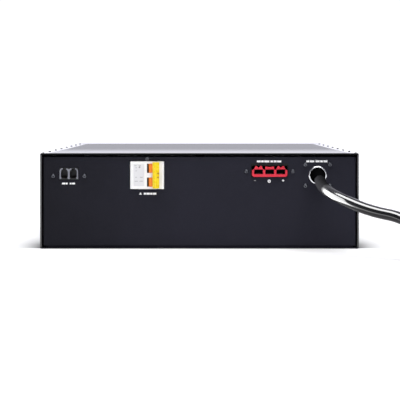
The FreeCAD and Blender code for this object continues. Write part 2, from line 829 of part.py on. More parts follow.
# Divider between the drawers, an angle seated on the base
def build_divider():
    piece = new_body("centre_divider")
    rear = f"({FRONT_EDGE} - drawer_length)"
    front = f"({FRONT_EDGE} - sheet_gauge - fit_gap)"
    profile = sketch(piece, "XZ_Plane", y=front)
    half = "sheet_gauge / 2"
    outline(profile, [
        (f"-{half}", "sheet_gauge"),
        ("divider_foot", "sheet_gauge"),
        ("divider_foot", "2 * sheet_gauge"),
        (half, "2 * sheet_gauge"),
        (half, "divider_height"),
        (f"-{half}", "divider_height"),
    ])
    pad(piece, profile, f"{front} - {rear}")
    keep(piece)


# Drawer: floor, low walls and a face plate with a folded pull, all from one sheet
def build_drawer(side, sign):
    piece = new_body("drawer_" + side, x=f"{sign}drawer_offset")
    front = f"({FRONT_EDGE} + sheet_gauge)"
    middle = f"{FRONT_EDGE} - drawer_length / 2"
    box = sketch(piece, "XY_Plane", z="sheet_gauge")
    rectangle(box, "drawer_outer", "drawer_length", "0", middle)
    pad(piece, box, "drawer_wall_height")
    hollow = sketch(piece, "XY_Plane", z="sheet_gauge + drawer_wall_height")
    rectangle(hollow, "drawer_inner", "drawer_length - 2 * sheet_gauge", "0", middle)
    pocket(piece, hollow, "drawer_wall_height - sheet_gauge")
    face = sketch(piece, "XZ_Plane", y=front)
    rectangle(face, "drawer_outer + 2 * drawer_face_lap", f"{FACE_TOP} - {FACE_LOW}", "0",
              f"({FACE_TOP} + {FACE_LOW}) / 2")
    pad(piece, face, "sheet_gauge")
    pull = sketch(piece, "XZ_Plane", y=f"{front} + pull_reach")
    rectangle(pull, "pull_width", "sheet_gauge", "0", "pull_height")
    pad(piece, pull, "pull_reach")
    lip = sketch(piece, "XZ_Plane", y=f"{front} + pull_reach")
    rectangle(lip, "pull_width", "pull_reach / 2", "0", "pull_height - pull_reach / 4 + sheet_gauge / 2")
    pad(piece, lip, "sheet_gauge")
    holes = sketch(piece, "XZ_Plane", y=f"{FRONT_EDGE} - fit_gap")
    circles(holes, "screw_hole_radius", [
        (f"{edge}(drawer_outer / 2 - drawer_screw_inset)", f"{FACE_TOP} - drawer_screw_drop")
        for edge in ("-", "")
    ])
    pocket(piece, holes, "sheet_gauge + 2 * fit_gap")
    keep(piece)


# Sealed block battery with two tabs in wells at one end
def build_battery(name, x, y, turn):
    piece = new_body(name, x, y, DRAWER_FLOOR, Vector(0, 0, 1), turn)
    case = sketch(piece, "XY_Plane")
    rectangle(case, "battery_width", "battery_length")
    pad(piece, case, "battery_height")
    dress(piece, "Chamfer", "Size", "battery_bevel", lambda a, b: near(a.x, b.x) and near(a.y, b.y))
    spots = [(f"{sign}(battery_width / 2 - well_inset)", "-battery_length / 2 + well_inset")
             for sign in ("-", "")]
    wells = sketch(piece, "XY_Plane", z="battery_height")
    for across, along in spots:
        rectangle(wells, "well_side", "well_side", across, along)
    pocket(piece, wells, "well_depth")
    tabs = sketch(piece, "XY_Plane", z="battery_height - well_depth")
    for across, along in spots:
        rectangle(tabs, "tab_width", "tab_thickness", across, along)
    pad(piece, tabs, "tab_height")
    keep(piece)


def battery_rows(sign):
    """Centres of one drawer's ten batteries: three rows of three and one turned across."""
    step = "(battery_length + battery_gap)"
    spots = []
    for line in range(3):
        for column in COLUMNS:
            x = f"{sign}drawer_offset + {column} * (battery_width + battery_gap)"
            spots.append((x, f"{BATTERY_FRONT} - battery_length / 2 - {line} * {step}", "0"))
    spots.append((f"{sign}drawer_offset", f"{BATTERY_FRONT} - 3 * {step} - battery_width / 2", "90"))
    return spots


def build_batteries():
    number = 0
    for _, sign in SIDES:
        for x, y, turn in battery_rows(sign):
            number += 1
            build_battery(f"battery_{number:02d}", x, y, turn)


def strap(name, x_from, x_to, y_from, y_to):
    """A flat link lying on the tabs between two terminals."""
    bar = doc.addObject("Part::Box", name)
    over = "strap_overhang"
    bind(bar, "Length", f"{x_to} - ({x_from}) + 2 * {over}")
    bind(bar, "Width", f"{y_to} - ({y_from}) + 2 * {over}")
    bind(bar, "Height", "strap_thickness")
    put(bar, f"{x_from} - {over}", f"{y_from} - {over}", TERMINAL_TOP)
    return bar


# Series straps of one drawer, across each row and from row to row in a serpentine
def build_straps(side, sign):
    column = "(battery_width + battery_gap)"
    tab = "(battery_width / 2 - well_inset)"
    front = BATTERY_FRONT
    step = "(battery_length + battery_gap)"
    bars = []
    for line in range(3):
        y = f"({front} - {line} * {step} - battery_length + well_inset)"
        for index in (-1, 0):
            middle = f"({sign}drawer_offset + {index} * {column})"
            bars.append(strap(f"strap_{side}_{line}_{index + 1}", f"({middle} + {tab})",
                              f"({middle} + {column} - {tab})", y, y))
    for line in range(2):
        edge = "-" if line else "+"
        x = f"({sign}drawer_offset {edge} {column} {edge} {tab})"
        near_y = f"({front} - {line + 1} * {step} - battery_length + well_inset)"
        far_y = f"({front} - {line} * {step} - battery_length + well_inset)"
        bars.append(strap(f"link_{side}_{line}", x, x, near_y, far_y))
    turned_y = f"({front} - 3 * {step} - well_inset)"
    last_y = f"({front} - 2 * {step} - battery_length + well_inset)"
    bars.append(strap(f"corner_{side}", f"({sign}drawer_offset + battery_length / 2 - well_inset)",
                      f"({sign}drawer_offset + {column} + {tab})", turned_y, last_y))
    together = doc.addObject("Part::Compound", "series_straps_" + side)
    together.Label = "series_straps_" + side
    together.Links = bars
    keep(together)


# Twin signal socket, its spring contacts, its board and the bracket that holds it
def build_jack():
    piece = new_body("jack_housing", "jack_centre_x", REAR_FACE, "jack_centre_z")
    block = sketch(piece, "XZ_Plane", y="jack_depth")
    rectangle(block, "jack_width", "jack_height")
    pad(piece, block, "jack_depth + jack_proud")
    mouths = sketch(piece, "XZ_Plane", y="-jack_proud")
    top = "(jack_mouth_rise + jack_mouth_height / 2)"
    low = "(jack_mouth_rise - jack_mouth_height / 2)"
    half, key = "(jack_mouth_width / 2)", "(jack_key_width / 2)"
    for sign in ("-", "+"):
        middle = f"(0 {sign} jack_pitch / 2)"
        outline(mouths, [
            (f"{middle} - {half}", low),
            (f"{middle} + {half}", low),
            (f"{middle} + {half}", f"{top} - jack_mouth_slope"),
            (f"{middle} + {key}", top),
            (f"{middle} + {key}", f"{top} + jack_key_height"),
            (f"{middle} - {key}", f"{top} + jack_key_height"),
            (f"{middle} - {key}", top),
            (f"{middle} - {half}", f"{top} - jack_mouth_slope"),
        ])
    pocket(piece, mouths, "jack_mouth_depth")
    keep(piece)

    pin = new_body("jack_pin")
    tip = "(jack_mouth_depth - jack_proud - jack_pin_setback)"
    blade = sketch(pin, "YZ_Plane", x="-jack_pin_width / 2")
    outline(blade, [
        ("jack_pin_root", "0"),
        ("jack_pin_root + jack_pin_thickness", "0"),
        (tip, "jack_pin_rise"),
        (f"{tip} - jack_pin_thickness", "jack_pin_rise"),
    ])
    pad(pin, blade, "jack_pin_width")
    places = []
    for sign in ("-", "+"):
        for index in (-1.5, -0.5, 0.5, 1.5):
            x = f"jack_centre_x {sign} jack_pitch / 2 + {index} * jack_pin_pitch"
            places.append((x, REAR_FACE, f"jack_centre_z + {low}"))
    keep(group("jack_contacts", pin, places))

    board = new_body("signal_board", "jack_centre_x", REAR_INNER, BOARD_TOP)
    card = sketch(board, "XY_Plane", z="-board_thickness")
    rectangle(card, "board_width", "board_length", "0", "board_length / 2 + sheet_gauge + fit_gap")
    pad(board, card, "board_thickness")
    keep(board)

    bracket = new_body("jack_bracket", "jack_centre_x", REAR_INNER, BOARD_TOP)
    shelf = "(-board_thickness - board_boss_height)"
    profile = sketch(bracket, "YZ_Plane", x="-jack_bracket_width / 2")
    reach = "(board_length + 2 * sheet_gauge + fit_gap)"
    outline(profile, [
        ("0", f"{shelf} - sheet_gauge"),
        (reach, f"{shelf} - sheet_gauge"),
        (reach, shelf),
        ("sheet_gauge", shelf),
        ("sheet_gauge", "jack_height + jack_bracket_rise"),
        ("0", "jack_height + jack_bracket_rise"),
    ])
    pad(bracket, profile, "jack_bracket_width")
    window = sketch(bracket, "XZ_Plane", y="-fit_gap")
    rectangle(window, "jack_width + 2 * jack_clearance", "jack_height + jack_clearance + board_thickness",
              "0", "(jack_height + jack_clearance - board_thickness) / 2")
    pocket(bracket, window, "sheet_gauge + 2 * fit_gap")
    bosses = sketch(bracket, "XY_Plane", z=shelf)
    circles(bosses, "board_boss_radius", [
        (f"{sign}(board_width / 2 - board_boss_inset)", f"sheet_gauge + {along}")
        for sign in ("-", "") for along in ("board_boss_front", "board_length - board_boss_back")
    ])
    pad(bracket, bosses, "board_boss_height")
    holes = sketch(bracket, "XZ_Plane", y="-fit_gap")
    circles(holes, "screw_radius + peg_clearance / 2", [
        (f"{sign}jack_screw_pitch / 2", "jack_height / 2 - jack_screw_drop") for sign in ("-", "")
    ])
    pocket(bracket, holes, "sheet_gauge + 2 * fit_gap")
    keep(bracket)


# One pole of the breaker: the stepped modular profile with a rail notch, padded across its width
def build_pole(name, low):
    piece = new_body(name, "breaker_centre_x", NOSE_FACE, low)
    profile = sketch(piece, "XY_Plane")
    nose, half = "(nose_width / 2)", "(pole_length / 2)"
    rail, back = "rail_face_depth", "(rail_face_depth + hook_depth)"
    notch = "(rail_width / 2 + fit_gap)"
    lip = "(rail_face_depth + rail_thickness + fit_gap)"
    outline(profile, [
        (f"-{nose}", "0"),
        (nose, "0"),
        (nose, "nose_step"),
        (half, "nose_step"),
        (half, f"{back} - hook_depth"),
        (f"{half} - hook_depth", back),
        (f"{notch} - hook_lip", back),
        (f"{notch} - hook_lip", lip),
        (notch, lip),
        (notch, rail),
        (f"-{notch}", rail),
        (f"-{notch}", back),
        (f"-{half} + hook_depth", back),
        (f"-{half}", f"{back} - hook_depth"),
        (f"-{half}", "nose_step"),
        (f"-{nose}", "nose_step"),
    ])
    pad(piece, profile, "pole_width")
    side = value("nose_width / 2")
    fillet(piece, "nose_corner", lambda a, b: near(a.y, 0) and near(b.y, 0)
           and near(abs(a.x), side) and near(a.x, b.x))
    slot = sketch(piece, "XZ_Plane")
    rectangle(slot, "2 * slot_half_length", "slot_width", "hub_offset", "pole_width / 2")
    pocket(piece, slot, "hub_depth + hub_radius + lever_side_gap")
    bearing = sketch(piece, "XY_Plane", z="pole_width / 2 + slot_width / 2 + trunnion_length + fit_gap")
    circles(bearing, "trunnion_radius + trunnion_clearance", [("hub_offset", "hub_depth")])
    pocket(piece, bearing, "slot_width + 2 * trunnion_length + 2 * fit_gap")
    wells = sketch(piece, "XZ_Plane", y="nose_step")
    circles(wells, "clamp_well_radius", [
        (f"{sign}({half} - clamp_well_inset)", "pole_width / 2") for sign in ("-", "")
    ])
    pocket(piece, wells, "clamp_well_depth")
    doors = sketch(piece, "YZ_Plane", x=half)
    rectangle(doors, "wire_door_height", "wire_door_width", "wire_door_place", "pole_width / 2")
    pocket(piece, doors, "wire_door_depth")
    doors = sketch(piece, "YZ_Plane", x=f"-{half}")
    rectangle(doors, "wire_door_height", "wire_door_width", "wire_door_place", "pole_width / 2")
    pocket(piece, doors, "wire_door_depth", backward=True)
    keep(piece)


# One toggle lever: a drum on two trunnions with its arm, leaning by lever_lean at rest
def build_lever(name, low):
    piece = new_body(name, HUB_X, HUB_Y, f"{low} + pole_width / 2", Vector(0, 0, 1), "lever_lean")
    wide = "(slot_width - 2 * lever_side_gap)"
    drum = sketch(piece, "XY_Plane", z=f"-{wide} / 2")
    circles(drum, "hub_radius")
    pad(piece, drum, wide)
    arm = sketch(piece, "XY_Plane", z=f"-{wide} / 2")
    rectangle(arm, "lever_thickness", "lever_reach", "0", "-lever_reach / 2")
    pad(piece, arm, wide)
    length = f"({wide} + 2 * trunnion_length)"
    trunnion = sketch(piece, "XY_Plane", z=f"-{length} / 2")
    circles(trunnion, "trunnion_radius")
    pad(piece, trunnion, length)
    keep(piece)


# Handle tie: one moulded bar over the tips of both levers
def build_tie_bar():
    piece = new_body("breaker_tie_bar", HUB_X, HUB_Y, "breaker_centre_z", Vector(0, 0, 1), "lever_lean")
    block = sketch(piece, "XY_Plane", z="-bar_length / 2")
    rectangle(block, "bar_width", "bar_thickness", "0", "-bar_near - bar_thickness / 2")
    pad(piece, block, "bar_length")
    outer = value("-bar_near - bar_thickness")
    fillet(piece, "bar_round", lambda a, b: near(a.y, outer) and near(b.y, outer))
    sockets = sketch(piece, "XZ_Plane", y="-bar_near")
    for sign in ("-", "+"):
        rectangle(sockets, "lever_thickness + 2 * bar_socket_play",
                  "slot_width - 2 * lever_side_gap + 2 * bar_socket_play",
                  "0", f"0 {sign} pole_width / 2")
    pocket(piece, sockets, "lever_reach - bar_near + bar_socket_play", backward=True)
    keep(piece)


# Mounting rail, standing upright because the breaker lies on its side, and its strap bracket
def build_rail():
    half, hat, thick = "(rail_width / 2)", "(rail_hat_width / 2)", "rail_thickness"
    piece = new_body("mounting_rail", "breaker_centre_x", RAIL_FACE, "breaker_centre_z")
    inside = "(bracket_half_height - sheet_gauge - fit_gap)"
    profile = sketch(piece, "XY_Plane", z=f"-{inside}")
    outline(profile, [
        (f"-{half}", "0"),
        (f"-{hat} + {thick}", "0"),
        (f"-{hat} + {thick}", f"rail_depth - {thick}"),
        (f"{hat} - {thick}", f"rail_depth - {thick}"),
        (f"{hat} - {thick}", "0"),
        (half, "0"),
        (half, thick),
        (hat, thick),
        (hat, "rail_depth"),
        (f"-{hat}", "rail_depth"),
        (f"-{hat}", thick),
        (f"-{half}", thick),
    ])
    pad(piece, profile, f"2 * {inside}")
    keep(piece)

    bracket = new_body("breaker_bracket", "breaker_centre_x", REAR_INNER, "breaker_centre_z")
    back = f"({RAIL_FACE} - {REAR_INNER} + rail_depth)"
    top = "bracket_half_height"
    profile = sketch(bracket, "YZ_Plane", x="-bracket_width / 2")
    outline(profile, [
        ("0", f"{top} - sheet_gauge"),
        ("0", f"{top} + bracket_tab"),
        ("sheet_gauge", f"{top} + bracket_tab"),
        ("sheet_gauge", top),
        (f"{back} + sheet_gauge", top),
        (f"{back} + sheet_gauge", f"-{top}"),
        ("sheet_gauge", f"-{top}"),
        ("sheet_gauge", f"-{top} - bracket_tab"),
        ("0", f"-{top} - bracket_tab"),
        ("0", f"-{top} + sheet_gauge"),
        (back, f"-{top} + sheet_gauge"),
        (back, f"{top} - sheet_gauge"),
    ])
    pad(bracket, profile, "bracket_width")
    hole = sketch(bracket, "XZ_Plane", y="-fit_gap")
    circles(hole, "screw_radius + peg_clearance / 2", [("0", "breaker_screw_rise")])
    pocket(bracket, hole, "sheet_gauge + 2 * fit_gap")
    keep(bracket)


# Three-pole power connector housing, shared by the panel and the plug on the cord
def build_power_housing(name, proud, depth, slot_depth, x, y, z, axis=None, angle=None):
    piece = new_body(name, x, y, z, axis, angle)
    half, rise = "(output_width / 2)", "(output_height / 2)"
    bevel = "output_chamfer"
    block = sketch(piece, "XZ_Plane", y=depth)
    hood, middle_half = "(hood_length / 2)", "(hood_middle_length / 2)"
    shoulder = f"({rise} - hood_rise)"
    left, right = "(-cell_pitch)", "cell_pitch"
    flat_end = f"({hood} - hood_slope)"
    flat_start = f"({flat_end} - hood_flat)"
    corners = [
        (f"-{half} + {bevel}", f"-{rise}"),
        (f"{half} - {bevel}", f"-{rise}"),
        (half, f"-{rise} + {bevel}"),
        (half, f"{shoulder} - hood_shelf"),
    ]
    for hub in (right, left):
        corners += [
            (f"{hub} + {hood}", shoulder),
            (f"{hub} + {flat_end}", rise),
            (f"{hub} + {flat_start}", rise),
            (hub, f"{rise} - hood_notch_depth"),
            (f"{hub} - {flat_start}", rise),
            (f"{hub} - {flat_end}", rise),
            (f"{hub} - {hood}", shoulder),
        ]
        if hub == right:
            corners += [
                (middle_half, shoulder),
                (middle_half, f"{rise} - hood_middle_dip / 3"),
                ("0", f"{rise} - hood_middle_dip"),
                (f"-{middle_half}", f"{rise} - hood_middle_dip / 3"),
                (f"-{middle_half}", shoulder),
            ]
    outline(block, corners + [
        (f"-{half}", f"{shoulder} - hood_shelf"),
        (f"-{half}", f"-{rise} + {bevel}"),
    ])
    pad(piece, block, f"{depth} + {proud}")
    mouths = sketch(piece, "XZ_Plane", y=f"-{proud}")
    for middle in (left, "0", right):
        rectangle(mouths, "cell_width", "cell_height", middle, "-cell_drop")
    pocket(piece, mouths, "cell_depth")
    slots = sketch(piece, "XZ_Plane", y=f"-{proud}")
    for step in COLUMNS:
        rectangle(slots, "blade_width + 2 * bar_socket_play", "blade_thickness + 2 * bar_socket_play",
                  f"{step} * cell_pitch", "-cell_drop - cell_height / 2 + blade_thickness / 2")
    pocket(piece, slots, slot_depth)
    teeth = sketch(piece, "XZ_Plane", y=f"tooth_depth - {proud}")
    sill = "(-cell_drop - cell_height / 2)"
    for step in COLUMNS:
        outline(teeth, [
            (f"{step} * cell_pitch - tooth_width / 2", f"{sill} - tooth_height / 2"),
            (f"{step} * cell_pitch + tooth_width / 2", f"{sill} - tooth_height / 2"),
            (f"{step} * cell_pitch + tooth_width / 2", sill),
            (f"{step} * cell_pitch", f"{sill} + tooth_height"),
            (f"{step} * cell_pitch - tooth_width / 2", sill),
        ])
    pad(piece, teeth, "tooth_depth")
    keep(piece)


def build_output():
    build_power_housing("output_housing", "output_proud", "output_depth", "output_proud + output_depth",
                        "output_centre_x", REAR_FACE, "output_centre_z")
    blade = new_body("power_blade")
    flat = sketch(blade, "XZ_Plane", y="blade_length")
    rectangle(flat, "blade_width", "blade_thickness", "0", "blade_thickness / 2")
    pad(blade, flat, "blade_length")
    seat = "output_centre_z - cell_drop - cell_height / 2"
    keep(group("output_contacts", blade, [
        (f"output_centre_x + {step} * cell_pitch", REAR_FACE, seat) for step in COLUMNS
    ]))

    bracket = new_body("output_bracket", "output_centre_x", REAR_INNER, "output_centre_z")
    plate = sketch(bracket, "XZ_Plane", y="sheet_gauge")
    rectangle(plate, "output_bracket_width", "output_bracket_height")
    rectangle(plate, "output_width + 2 * output_clearance", "output_height + 2 * output_clearance")
    circles(plate, "screw_radius + peg_clearance / 2", [
        (f"{sign}output_screw_pitch / 2", "0") for sign in ("-", "")
    ])
    pad(bracket, plate, "sheet_gauge")
    keep(bracket)
    return blade


# Cable gland: a turned ring through the panel, a rubber bush and the plate that clamps them
def build_gland():
    ring = new_body("gland_ring", "gland_centre_x", REAR_FACE, "gland_centre_z")
    flange = sketch(ring, "XZ_Plane")
    circles(flange, "ring_outer_radius")
    pad(ring, flange, "ring_proud")
    barrel = sketch(ring, "XZ_Plane", y="barrel_length")
    circles(barrel, "barrel_radius")
    pad(ring, barrel, "barrel_length")
    bore = sketch(ring, "XZ_Plane", y="-ring_proud")
    circles(bore, "ring_inner_radius")
    pocket(ring, bore, "ring_proud + barrel_length")
    dress_rims(ring, "Chamfer", "Size", "ring_bevel", "-ring_proud")
    keep(ring)

    bush = new_body("gland_bush", "gland_centre_x", REAR_FACE, "gland_centre_z")
    sleeve = sketch(bush, "XZ_Plane", y="bush_recess + bush_length")
    circles(sleeve, "ring_inner_radius - trunnion_clearance")
    pad(bush, sleeve, "bush_length")
    collar = sketch(bush, "XZ_Plane", y="bush_recess + bush_length")
    circles(collar, "bush_flange_radius")
    pad(bush, collar, "bush_recess + bush_length - barrel_length - fit_gap")
    keep(bush)

    plate = new_body("gland_plate", "gland_centre_x", REAR_INNER, "gland_centre_z")
    flat = sketch(plate, "XZ_Plane", y="sheet_gauge")
    rectangle(flat, "clamp_plate_width", "clamp_plate_height")
    circles(flat, "barrel_radius + barrel_clearance")
    circles(flat, "screw_radius + peg_clearance / 2", [
        (f"{across}gland_pitch_across / 2", f"{up}gland_pitch_up / 2")
        for across in ("-", "") for up in ("-", "")
    ])
    pad(plate, flat, "sheet_gauge")
    keep(plate)


NUT_SIDES = 6


# Fuse block on the base behind the rear panel, with its two cartridges, and the earth stud
def build_bay():
    y = f"({REAR_INNER} + sheet_gauge + panel_flange_depth + bay_setback)"
    block = new_body("fuse_block", "fuse_block_x", y, "sheet_gauge")
    foot = sketch(block, "XY_Plane")
    rectangle(foot, "fuse_block_width", "fuse_block_length")
    pad(block, foot, "fuse_block_height")
    troughs = sketch(block, "YZ_Plane", x="fuse_block_width / 2")
    circles(troughs, "fuse_radius + fit_gap", [
        (f"{sign}fuse_pitch / 2", "fuse_block_height") for sign in ("-", "")
    ])
    pocket(block, troughs, "fuse_block_width")
    keep(block)

    cartridge = new_body("cartridge")
    body = sketch(cartridge, "YZ_Plane", x="-fuse_length / 2")
    circles(body, "fuse_radius")
    pad(cartridge, body, "fuse_length")
    keep(group("fuses", cartridge, [
        ("fuse_block_x", f"{y} {sign} fuse_pitch / 2", "sheet_gauge + fuse_block_height")
        for sign in ("-", "+")
    ]))

    stud = new_body("earth_stud", "stud_x", y, "sheet_gauge")
    shank = sketch(stud, "XY_Plane")
    circles(shank, "stud_radius")
    pad(stud, shank, "stud_height")
    nut = sketch(stud, "XY_Plane")
    polygon(nut, "stud_nut_radius", NUT_SIDES)
    pad(stud, nut, "stud_nut_height")
    keep(stud)


# Tubes: straight runs joined by tangent arcs, as large as the two runs allow. Their section is
# an even polygon with the area of the round cord
ARC_SHARE = 0.45
CORD_SIDES = 12
CORNER_SHARE = math.sqrt(2 * math.pi / (CORD_SIDES * math.sin(2 * math.pi / CORD_SIDES)))
VOLUME_ERROR = 0.01


def rounded_path(points):
    """The wire through the points, and the radius of each of its arcs."""
    edges = []
    radii = []
    start = points[0]
    for before, corner, after in zip(points, points[1:], points[2:]):
        into = (corner - before).normalize()
        out = (after - corner).normalize()
        turn = into.getAngle(out)
        reach = ARC_SHARE * min(before.distanceToPoint(corner), corner.distanceToPoint(after))
        radii.append(reach / math.tan(turn / 2))
        first = corner - into * reach
        last = corner + out * reach
        bisector = (out - into).normalize()
        hub = corner + bisector * (radii[-1] / math.cos(turn / 2))
        middle = hub - bisector * radii[-1]
        edges.append(Part.LineSegment(start, first).toShape())
        edges.append(Part.Arc(first, middle, last).toShape())
        start = last
    edges.append(Part.LineSegment(start, points[-1]).toShape())
    return Part.Wire(edges), radii


def tube(name, points, radius):
    wire, radii = rounded_path(points)
    heading = (points[1] - points[0]).normalize()
    level = heading.cross(Vector(0, 0, 1)).normalize()
    upward = level.cross(heading)
    rim = []
    for index in range(CORD_SIDES + 1):
        angle = math.pi * (2 * index + 1) / CORD_SIDES
        corner = level * math.cos(angle) + upward * math.sin(angle)
        rim.append(points[0] + corner * radius * CORNER_SHARE)
    solid = wire.makePipeShell([Part.makePolygon(rim)], True, False)
    wanted = math.pi * radius * radius * wire.Length
    if abs(solid.Volume - wanted) > VOLUME_ERROR * wanted:
        raise ValueError("the tube's volume is off in " + name)
    print(name, "length", round(wire.Length, 1), "radii", [round(radius, 1) for radius in radii])
    return solid


# The free cord: down from the gland to the floor, into a coil of one turn and a quarter
def build_cord():
    radius = value("cord_diameter / 2")
    gx, gz, face = value("gland_centre_x"), value("gland_centre_z"), value(REAR_FACE)
    rest = value("cord_rest")
    coil_x, coil_y = value("coil_centre_x"), value(COIL_Y)
    turn = value("coil_radius")
    lead = [
        Vector(gx, face + value("bush_recess"), gz),
        Vector(gx, face - 27, gz),
        Vector(gx - 1, face - 62, gz - 11.5),
        Vector(gx + 16, face - 102, gz - 24),
        Vector(gx + 58, face - 133, gz - 41),
        Vector(gx + 96, face - 165, gz - 46.5),
        Vector(gx + 120, face - 195, gz - 71),
        Vector(gx + 164, coil_y - turn + 0.5, rest + 1.8),
        Vector(coil_x, coil_y - turn, rest),
    ]
    keep(feature("cord_lead", tube("cord_lead", lead, radius)))

    high = rest + value("crest_rise")
    tail_x = coil_x + turn - value("crest_inset")
    end_x, end_y = value("plug_seat_x"), coil_y + value("tail_reach")
    tail = [
        Vector(tail_x, coil_y, high),
        Vector(tail_x + 1, coil_y + 28, high - 1),
        Vector(end_x, coil_y + 66, rest),
        Vector(end_x, end_y, rest),
    ]
    keep(feature("cord_tail", tube("cord_tail", tail, radius)))


# Its coil: one full turn on the floor with most of a second turn's half lying on it
def build_coil():
    piece = new_body("cord_coil", "coil_centre_x", COIL_Y)
    turns = (
        ("coil_radius", "cord_rest", "360"),
        ("coil_radius - crest_inset", "cord_rest + crest_rise", "crest_angle"),
    )
    for radius, height, angle in turns:
        section = sketch(piece, "XZ_Plane")
        polygon(section, f"cord_diameter / 2 * {CORNER_SHARE:.6f}", CORD_SIDES, radius, height)
        wound = piece.newObject("PartDesign::Revolution", "coil_turn")
        wound.Profile = section
        wound.ReferenceAxis = (section, ["V_Axis"])
        bind(wound, "Angle", angle)
        wound.Reversed = True
        section.Visibility = False
        doc.recompute()
    keep(piece)


# The red plug at the cord's end lies flat, its mating face away from the cord
def build_plug(blade):
    half_turn = (Vector(0, 0, 1), "180")
    seat_y = f"({COIL_Y} + tail_reach)"
    neck = new_body("plug_neck", "plug_seat_x", seat_y, "cord_rest")
    boot = sketch(neck, "XZ_Plane", y="plug_neck_length")
    circles(boot, "plug_neck_radius")
    pad(neck, boot, "plug_neck_length")
    keep(neck)
    mouth = f"({seat_y} + plug_neck_length + plug_length)"
    build_power_housing("plug_housing", "0", "plug_length", "output_proud + blade_length",
                        "plug_seat_x", mouth, "cord_rest", *half_turn)
    seat = "cord_rest - cell_drop - cell_height / 2"
    keep(group("plug_contacts", blade, [
        (f"plug_seat_x + {step} * cell_pitch", f"{mouth} - output_proud", seat, *half_turn)
        for step in COLUMNS
    ]))


build_base()
build_cover()
build_rear_panel()
build_front_frame()
build_bezel()
build_divider()
for side_name, side_sign in SIDES:
    build_drawer(side_name, side_sign)
build_batteries()
for side_name, side_sign in SIDES:
    build_straps(side_name, side_sign)
build_jack()
LOW_POLE = "(breaker_centre_z - pole_width)"
build_pole("breaker_pole_lower", LOW_POLE)
build_pole("breaker_pole_upper", "breaker_centre_z")
build_lever("breaker_lever_lower", LOW_POLE)
build_lever("breaker_lever_upper", "breaker_centre_z")
build_tie_bar()
build_rail()
power_blade = build_output()
build_gland()
build_bay()
build_screws()
build_rivets()
build_cord()
build_coil()
build_plug(power_blade)

# Every object is sound before anything is written
doc.recompute()
for thing in doc.Objects:
    if "Invalid" in thing.State or "Error" in thing.State:
        raise ValueError("failed object " + thing.Label)
for piece in KEPT:
    if piece.Shape.isNull() or not piece.Shape.isValid():
        raise ValueError("unsound shape " + piece.Label)
for piece in KEPT:
    piece.Shape.exportStep("parts/" + piece.Label + ".step")
print(len(KEPT), "nodes written")
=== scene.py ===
import json
import math
import bpy
import bmesh
from mathutils import Matrix, Vector


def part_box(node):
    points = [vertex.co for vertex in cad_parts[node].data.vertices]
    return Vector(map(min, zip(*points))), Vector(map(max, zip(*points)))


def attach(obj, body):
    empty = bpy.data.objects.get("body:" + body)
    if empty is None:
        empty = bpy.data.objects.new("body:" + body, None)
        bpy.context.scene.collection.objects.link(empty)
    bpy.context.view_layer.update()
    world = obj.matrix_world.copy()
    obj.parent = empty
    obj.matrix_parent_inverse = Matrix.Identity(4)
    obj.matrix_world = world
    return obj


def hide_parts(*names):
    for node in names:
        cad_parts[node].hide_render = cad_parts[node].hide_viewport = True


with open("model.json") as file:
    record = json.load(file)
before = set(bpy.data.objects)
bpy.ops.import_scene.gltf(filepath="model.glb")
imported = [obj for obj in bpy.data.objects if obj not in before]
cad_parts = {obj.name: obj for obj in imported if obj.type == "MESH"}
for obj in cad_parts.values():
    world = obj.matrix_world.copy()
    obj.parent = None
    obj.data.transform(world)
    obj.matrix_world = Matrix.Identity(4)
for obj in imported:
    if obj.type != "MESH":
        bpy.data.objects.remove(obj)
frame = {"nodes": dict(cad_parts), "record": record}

# External battery module seen from its rear panel. Metres; Z is up, the rear panel faces -Y.
MM = 0.001
nodes = frame["nodes"]
scene = bpy.context.scene

# A new file's sample objects go, so that only the part's own pieces are measured
for name in ("Cube", "Light", "Camera"):
    sample = bpy.data.objects.get(name)
    if sample is not None:
        bpy.data.objects.remove(sample)
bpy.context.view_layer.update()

# Places read from the frame
panel_low, panel_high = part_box("rear_panel")
cover_low, cover_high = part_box("top_cover")
jack_low, jack_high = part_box("jack_housing")
lower_pole, upper_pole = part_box("breaker_pole_lower"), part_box("breaker_pole_upper")
output_low, output_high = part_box("output_housing")
ring_low, ring_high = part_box("gland_ring")
FACE_Y = panel_low.y
NOSE_Y = lower_pole[0].y
JACK = (jack_low + jack_high) / 2
BREAKER = (lower_pole[0] + upper_pole[1]) / 2
OUTPUT = (output_low + output_high) / 2
GLAND = (ring_low + ring_high) / 2
HUB = Vector(frame["record"]["behaviour"]["joints"][0]["pos_m"])
CELL_PITCH = 15.3 * MM
LEVER_LEAN = math.radians(38)


# Colours are given as seen on a screen and turned into light values
def light_value(level):
    level = level / 255
    return level / 12.92 if level <= 0.04045 else ((level + 0.055) / 1.055) ** 2.4


def colour(red, green, blue):
    return (light_value(red), light_value(green), light_value(blue), 1.0)


# Materials

# The stretch of a noise's values over which a tint or a gloss goes from one end to the other
TINT_FROM, TINT_TO = 0.35, 0.65
GLOSS_FROM, GLOSS_TO = 0.3, 0.7


